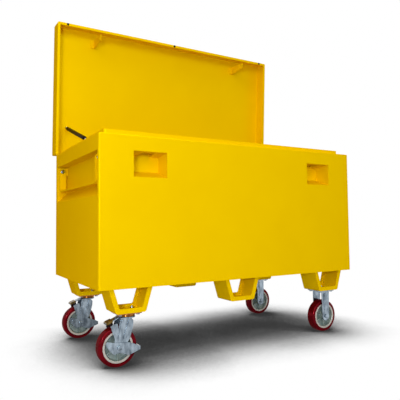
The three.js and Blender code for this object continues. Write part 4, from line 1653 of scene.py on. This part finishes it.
@dataclass
class SwivelCaster(CasterMount):
    """The hardware of a braked swivel caster: plate with ball race, fork with lock tongue, brake pedal.

    Outlines are drawn on XZ. Those of the fork are shares of the wheel's radius and of the fork's height over the
    axle, those of the pedal are shares of the wheel's radius, and the others are in millimetres.
    """

    wheel: float = 90 * MM
    running: float = 0.5 * MM
    race_radius: float = 40 * MM
    race_height: float = 14 * MM
    race_lap: float = 1 * MM
    race_neck: float = 9 * MM
    upper_cup: float = 4 * MM
    lower_cup: float = 3 * MM
    lower_inset: float = 1 * MM
    groove: float = 5 * MM
    groove_gap: float = 1.2 * MM
    groove_depth: float = 3 * MM
    kingpin: float = 8 * MM
    kingpin_below: float = 12 * MM
    kingpin_nut: float = 13 * MM
    nut_height: float = 10 * MM
    nut_edge: float = 1.4 * MM
    crown_left: float = 36 * MM
    crown_right: float = 6 * MM
    foot_boss: float = 23 * MM
    fork_corner: float = 5 * MM
    fork_right: tuple[Pair, ...] = ((0.56, 0.27), (0.68, 0.52), (0.74, 0.69), (0.76, 0.88))
    fork_left: tuple[Pair, ...] = ((0.06, 0.85), (-0.02, 0.63), (-0.08, 0.83), (-0.27, 0.8), (-0.42, 0.75),
                                   (-0.37, 0.6), (-0.29, 0.46), (-0.21, 0.31))
    right_rib: tuple[Pair, Pair] = ((18 * MM, 34 * MM), (46 * MM, 60 * MM))  # lower and upper end, from the axle
    right_rib_drop: float = 24 * MM
    left_rib: tuple[Pair, Pair] = ((-6 * MM, 8 * MM), (13 * MM, 24 * MM))
    left_rib_drop: float = 12 * MM
    rib_above_hub: float = 36 * MM
    rib_below_top: float = 9 * MM
    rib_corner: float = 6 * MM
    tongue_half: float = 18 * MM
    tongue_line: tuple[Pair, ...] = ((-100, -23), (-92, -21), (-42, 0), (0, 0))
    tab_line: tuple[Pair, ...] = ((-100, -30), (-70, -19), (-70, -8), (-92, -16), (-100, -21))
    tab_over: float = 2 * MM
    tab_corner: float = 3 * MM
    tab_edge: float = 1.2 * MM
    pedal_plate: float = 4 * MM
    pedal_reach: float = 99 * MM
    pedal_lip: float = 5 * MM
    pedal_lip_edge: float = 1.2 * MM
    pedal_tip: Pair = (-19 * MM, -3 * MM)
    pedal_over: tuple[Pair, ...] = ((0.5, 0.22), (0.37, 0.21), (-0.24, 0.27), (-0.6, 0.37), (-0.7, 0.29))
    pedal_under: tuple[Pair, ...] = ((-0.7, 0.21), (-0.5, -0.08), (-0.28, -0.3), (0.01, -0.23), (0.5, -0.41))
    pedal_corner: float = 6 * MM
    pedal_edge: float = 0.9 * MM
    pedal_boss: Pair = (13 * MM, 0.4 * MM)  # radius and height
    pedal_pin: Triple = (5 * MM, 4 * MM, 2 * MM)  # radius at its foot and head, and height
    pedal_pin_place: Triple = (-40 * MM, 0, 14 * MM)

    def build(self) -> None:
        """Models every piece of this caster but its wheel."""
        self._plate()
        self._fork()
        self._lock_tab()
        self._pedal()
        self.axle(f"{self.name}_swivel",
                  self.fork_half + self.fork_plate + self.running + self.pedal_plate + self.running)

    @property
    def race_under(self) -> float:
        """The underside of the ball race."""
        return self.plate_under - self.race_height

    @property
    def fork_top(self) -> float:
        """The top face of the fork's crown."""
        return self.race_under - self.running

    def _plate(self) -> None:
        """Top plate, ball race with the dark groove between its cups, and kingpin nut."""
        steel, bolts = TopPlate().make(self.name, self.seat)
        top, under, radius, lap = self.plate_under, self.race_under, self.race_radius, self.race_lap
        upper, lower, neck = self.upper_cup, self.lower_cup, radius - self.race_neck
        inside, groove = radius - self.groove_depth, under + self.groove
        lower_radius = radius - self.lower_inset
        profile = [
            (0.0, top + lap), (neck, top + lap), (neck, top - lap),
            *arc((radius - upper, top - lap - upper), upper, 90, 0, steps=5), (radius, groove + self.groove_gap),
            (inside, groove + self.groove_gap), (inside, groove), (lower_radius, groove),
            *arc((lower_radius - lower, under + lower), lower, 0, -90, steps=5), (0.0, under),
        ]
        race = spun("race", Axis.Z, (self.seat.x, self.seat.y, 0), profile, steps=72)
        nut_top = self.fork_top - self.fork_plate - self.running
        stem = bar("stem", Axis.Z, self.seat, self.kingpin, (nut_top - self.kingpin_below, under + lap), sides=32)
        nut = bar("nut", Axis.Z, self.seat, self.kingpin_nut, (nut_top - self.nut_height, nut_top), HEX_SIDES)
        apply_modifier(nut, "BEVEL", width=self.nut_edge, segments=EDGE_SEGMENTS)
        piece = smooth(joined(f"{self.name}_top_plate", steel, race, stem, nut))
        finishes = self.shop.finishes
        # painted reflection: the plate's orange tint stands in partly for the red tread and yellow box mirrored in it,
        # on top of a yellow passivation
        self.shop.hand_over(piece, "chest", finishes.passivated, f"{self.name}_caster_plate")
        self.shop.hand_over(bolts, "chest", finishes.zinc)

    def _cheek_outline(self) -> list[Pair]:
        """The side plate's outline, cut with a notch between its two shoulders.

        Returns:
            The outline.
        """
        hub, top, middle = self.hub, self.fork_top, self.seat.x
        place, scale = (hub.x, hub.z), (self.wheel, top - hub.z)
        foot = arc(place, self.foot_boss, 180, 330, steps=20)
        corners = [*laid(self.fork_right, place, scale), (middle + self.crown_right, top),
                   (middle - self.crown_left, top), *laid(self.fork_left, place, scale)]
        soft = softened([foot[-1], *corners, foot[0]], self.fork_corner)
        return [*foot, *soft[CORNER_STEPS + 1:-CORNER_STEPS - 1]]

    def _rib(self, low: Pair, high: Pair, drop: float) -> list[Pair]:
        """The outline of a rib that leans from the axle up to the crown.

        Args:
            low: Where its lower end starts and stops, from the axle along X.
            high: The same of its upper end.
            drop: How far under the top its right edge bends.

        Returns:
            The outline.
        """
        hub = self.hub
        foot, head = hub.z + self.rib_above_hub, self.fork_top - self.rib_below_top
        (x0, x1), (x2, x3) = ((hub.x + start, hub.x + end) for start, end in (low, high))
        return softened([(x0, foot), (x1, foot), (x3, head - drop), (x3, head), (x2, head)], self.rib_corner)

    def _fork(self) -> None:
        """Crown, side plates and lock tongue, pressed from one sheet."""
        seat, top = self.seat, self.fork_top
        under = top - self.fork_plate
        wide = self.fork_half + self.fork_plate
        disc = bar(f"{self.name}_fork_pressed", Axis.Z, seat, self.race_radius, (under, top), sides=72)
        left, right = seat.x - self.crown_left, seat.x + self.crown_right
        crown = plate("crown", Axis.Z, [(left, seat.y - wide), (right, seat.y - wide), (right, seat.y + wide),
                                        (left, seat.y + wide)], (under, top))
        upper = laid(self.tongue_line, (seat.x, top))
        lower = [(x, z - self.fork_plate) for x, z in reversed(upper)]
        tongue = plate("tongue", Axis.Y, [*upper, *lower], (seat.y - self.tongue_half, seat.y + self.tongue_half))
        cheeks = self.cheeks(self._cheek_outline(), self._rib(*self.right_rib, self.right_rib_drop),
                             self._rib(*self.left_rib, self.left_rib_drop))
        bore = bar("bore", Axis.Z, seat, self.kingpin + self.running, (under - self.drill, top + self.drill), sides=32)
        fork = ease(carve(fuse(disc, crown, tongue, *cheeks), bore), self.fork_edge)
        self.shop.hand_over(fork, f"{self.name}_swivel", self.shop.finishes.zinc, f"{self.name}_fork")

    def _lock_tab(self) -> None:
        """The thumb tab of the swivel lock, clipped over the tongue's tip."""
        seat = self.seat
        outline = softened(laid(self.tab_line, (seat.x, self.fork_top)), self.tab_corner)
        half = self.tongue_half + self.tab_over
        tab = ease(plate(f"{self.name}_lock_tab", Axis.Y, outline, (seat.y - half, seat.y + half)), self.tab_edge)
        self.shop.hand_over(tab, f"{self.name}_swivel", self.shop.finishes.olive)

    def _pedal(self) -> None:
        """Two wing-shaped arms outside the fork, joined by the foot's lip in front of the tread."""
        hub, end = self.hub, self.hub.x + self.pedal_reach
        low, high = (hub.z + place for place in self.pedal_tip)
        wing = softened([(end, low), (end, high), *laid((*self.pedal_over, *self.pedal_under), (hub.x, hub.z),
                                                        (self.wheel, self.wheel))], self.pedal_corner)
        near = self.fork_half + self.fork_plate + self.running
        far = near + self.pedal_plate
        start = end - self.pedal_lip
        lip = plate(f"{self.name}_pedal_pressed", Axis.Y, softened(
            [(end, low), (end, high), (start, high), (start, low)], self.pedal_lip_edge), (hub.y - far, hub.y + far))
        (boss_radius, boss_height), (pin_foot, pin_head, pin_height) = self.pedal_boss, self.pedal_pin
        arms = []
        for side in (-1, 1):
            face = hub.y + side * near
            arm = plate("arm", Axis.Y, wing, (face, hub.y + side * far))
            boss = bar("boss", Axis.Y, hub, boss_radius, (face, hub.y + side * (far + boss_height)), sides=48)
            pin = bar("pin", Axis.Y, hub + Vector(self.pedal_pin_place), pin_foot,
                      (face, hub.y + side * (far + pin_height)), sides=28, tip_radius=pin_head)
            arms.append(fuse(arm, boss, pin))
        hole = bar("hole", Axis.Y, hub, self.axle_radius + self.running, (hub.y - 2 * far, hub.y + 2 * far))
        pedal = ease(carve(fuse(lip, *arms), hole), self.pedal_edge)
        self.shop.hand_over(pedal, f"{self.name}_brake", self.shop.finishes.zinc, f"{self.name}_brake_pedal")


@dataclass
class Casters:
    """Two swivel casters with brakes at the left end and two rigid ones at the right."""

    shop: Workshop

    def build(self) -> None:
        """Models the four casters."""
        for end, _ in ENDS:
            for side, kind in (("left", SwivelCaster), ("right", RigidCaster)):
                name = f"{end}_{side}"
                Wheel(self.shop, name).build()
                kind(self.shop, name).build()


# Studio


@dataclass(frozen=True)
class Viewpoint:
    """The camera: a plain lens in front of the left corner, a little below the rim."""

    place: Triple = (-1.3728, -2.3530, 0.6379)
    yaw_deg: float = 30.309
    pitch_deg: float = 2.823
    roll_deg: float = -0.603
    focal_px: float = 457.87
    frame_px: float = 400
    sensor_mm: float = 36
    clip_end: float = 200

    def make(self) -> None:
        """Adds the camera."""
        yaw, pitch, roll = (math.radians(a) for a in (self.yaw_deg, self.pitch_deg, self.roll_deg))
        ahead = Vector((math.sin(yaw) * math.cos(pitch), math.cos(yaw) * math.cos(pitch), math.sin(pitch)))
        level = Vector((math.cos(yaw), -math.sin(yaw), 0))
        upright = level.cross(ahead)
        right = level * math.cos(roll) + upright * math.sin(roll)
        up = upright * math.cos(roll) - level * math.sin(roll)
        data = bpy.data.cameras.new("camera")
        data.sensor_width = self.sensor_mm
        data.lens = self.sensor_mm * self.focal_px / self.frame_px
        data.clip_end = self.clip_end
        camera = placed("camera", data)
        turn = Matrix((right, up, -ahead)).transposed().to_4x4()
        camera.matrix_world = Matrix.Translation(Vector(self.place)) @ turn
        bpy.context.scene.camera = camera


@dataclass(frozen=True)
class Softbox:
    """One rectangular studio lamp, aimed at a point."""

    name: str
    place: Triple
    target: Triple
    watts: float
    size: Pair = (2.4, 2.4)
    colour: str = "#FFFFFF"

    def make(self) -> None:
        """Adds the lamp."""
        data = bpy.data.lights.new(self.name, "AREA")
        data.shape = "RECTANGLE"
        data.size, data.size_y = self.size
        data.energy = self.watts
        data.color = linear(self.colour)[:3]
        lamp = placed(self.name, data)
        aim = (Vector(self.target) - Vector(self.place)).to_track_quat("-Z", "Y")
        lamp.matrix_world = Matrix.Translation(Vector(self.place)) @ aim.to_matrix().to_4x4()


@dataclass(frozen=True)
class Studio:
    """White floor and surroundings, soft lamps and the colour handling."""

    ambient: float = 0.34
    ambient_colour: str = "#FFC97C"
    backdrop: str = "#FFFFFF"
    floor_lit: float = 0.42
    floor_size: float = 80.0
    shadow_samples: int = 16
    shadow_reach: float = 0.5
    shadow_closed: float = 0.46
    shadow_open: float = 0.91
    shadow_curve: float = 2.1
    shadow_depth: float = 0.034
    shadow_lean: float = 0.3  # how far the shade leans towards the right end, as lamps on the left throw it
    mirrored_shadow: float = 0.4  # how dark the shadow gets where metal mirrors it

    def make(self) -> None:
        """Builds the studio."""
        bpy.context.scene.view_settings.view_transform = "Standard"
        self._world()
        self._floor()
        for lamp in (
            Softbox("key", place=(-2.6, -3.4, 3.0), target=(0.0, -0.3, 0.8), watts=44.5, colour="#FFDCB0"),
            Softbox("front", place=(-0.8, -4.4, 2.6), target=(0.0, -0.3, 0.9), watts=36.0, colour="#EEFFF2"),
            Softbox("low", place=(-2.4, -3.4, 0.98), target=(-0.5, -0.3, 0.3), watts=50.0, size=(0.5, 0.5)),
            Softbox("top", place=(0.2, -0.4, 4.4), target=(0.0, 0.0, 0.6), watts=62.0, size=(3.0, 2.4),
                    colour="#F8F8DC"),
            Softbox("rear", place=(1.4, 4.2, 2.8), target=(0.0, 0.4, 0.9), watts=90.0, colour="#FFEDDA"),
        ):
            lamp.make()

    def _world(self) -> None:
        """White to the camera and in reflections, and a dimmer plain light on the object."""
        world = bpy.data.worlds.new("studio")
        bpy.context.scene.world = world
        world.use_nodes = True
        tree = world.node_tree
        tree.nodes.clear()
        dim = add_node(tree, "Background", inputs={"Color": linear(self.ambient_colour), "Strength": self.ambient})
        white = add_node(tree, "Background", inputs={"Color": linear(self.backdrop), "Strength": 1.0})
        mix = add_node(tree, "MixShader", inputs={0: self._seen(tree), 1: dim.outputs[0], 2: white.outputs[0]})
        add_node(tree, "OutputWorld", inputs={"Surface": mix.outputs[0]})

    def _seen(self, tree: Tree) -> Socket:
        """One for rays that see the surroundings straight, mirrored or through glass, and zero for plain light.

        Args:
            tree: The node tree.

        Returns:
            The value's socket.
        """
        path = add_node(tree, "LightPath")
        seen = add_node(tree, "Math", {"operation": "MAXIMUM"},
                        {0: path.outputs["Is Camera Ray"], 1: path.outputs["Is Transmission Ray"]})
        seen = add_node(tree, "Math", {"operation": "MAXIMUM"},
                        {0: seen.outputs[0], 1: path.outputs["Is Glossy Ray"]})
        return seen.outputs[0]

    def _floor(self) -> None:
        """A floor that is white where it lies open, and darkens where the object stands over it."""
        bpy.ops.mesh.primitive_plane_add(size=self.floor_size)
        floor = newest("floor")
        material = bpy.data.materials.new("studio_floor")
        material.use_nodes = True
        tree = material.node_tree
        tree.nodes.clear()
        upright = math.sqrt(1 - self.shadow_lean ** 2)
        leaning = add_node(tree, "CombineXYZ", inputs={"X": -self.shadow_lean, "Z": upright}).outputs[0]
        openness = add_node(tree, "AmbientOcclusion", {"samples": self.shadow_samples},
                            {"Distance": self.shadow_reach, "Normal": leaning})
        share = add_node(tree, "MapRange", inputs={"Value": openness.outputs["AO"], "From Min": self.shadow_closed,
                                                   "From Max": self.shadow_open})
        curved = add_node(tree, "Math", {"operation": "POWER"}, {0: share.outputs[0], 1: self.shadow_curve})
        level = add_node(tree, "MapRange", inputs={"Value": curved.outputs[0], "To Min": self.shadow_depth})
        glossy = add_node(tree, "LightPath").outputs["Is Glossy Ray"]
        mirrored = add_node(tree, "Math", {"operation": "MULTIPLY"}, {0: glossy, 1: self.mirrored_shadow})
        level = add_node(tree, "Math", {"operation": "MAXIMUM"}, {0: level.outputs[0], 1: mirrored.outputs[0]})
        shown = add_node(tree, "Emission", inputs={"Strength": level.outputs[0]})
        lit = [self.floor_lit] * 3
        paper = add_node(tree, "BsdfDiffuse", inputs={"Color": (*lit, 1.0)})
        mix = add_node(tree, "MixShader", inputs={0: self._seen(tree), 1: paper.outputs[0], 2: shown.outputs[0]})
        add_node(tree, "OutputMaterial", inputs={"Surface": mix.outputs[0]})
        floor.data.materials.append(material)


def main() -> None:
    """Builds the looks around the frame."""
    logging.basicConfig(level=logging.INFO, format="%(message)s")
    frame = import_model()
    Viewpoint().make()
    Studio().make()
    shop = Workshop(frame, Finishes.make())
    for assembly in (SheetMetal(shop), Welds(shop), HingePin(shop), Bumpers(shop), LockStrikes(shop),
                     GasStruts(shop), DropHandles(shop), Casters(shop)):
        assembly.build()
        LOG.info("%s is dressed", type(assembly).__name__)


if __name__ == "__main__":
    main()
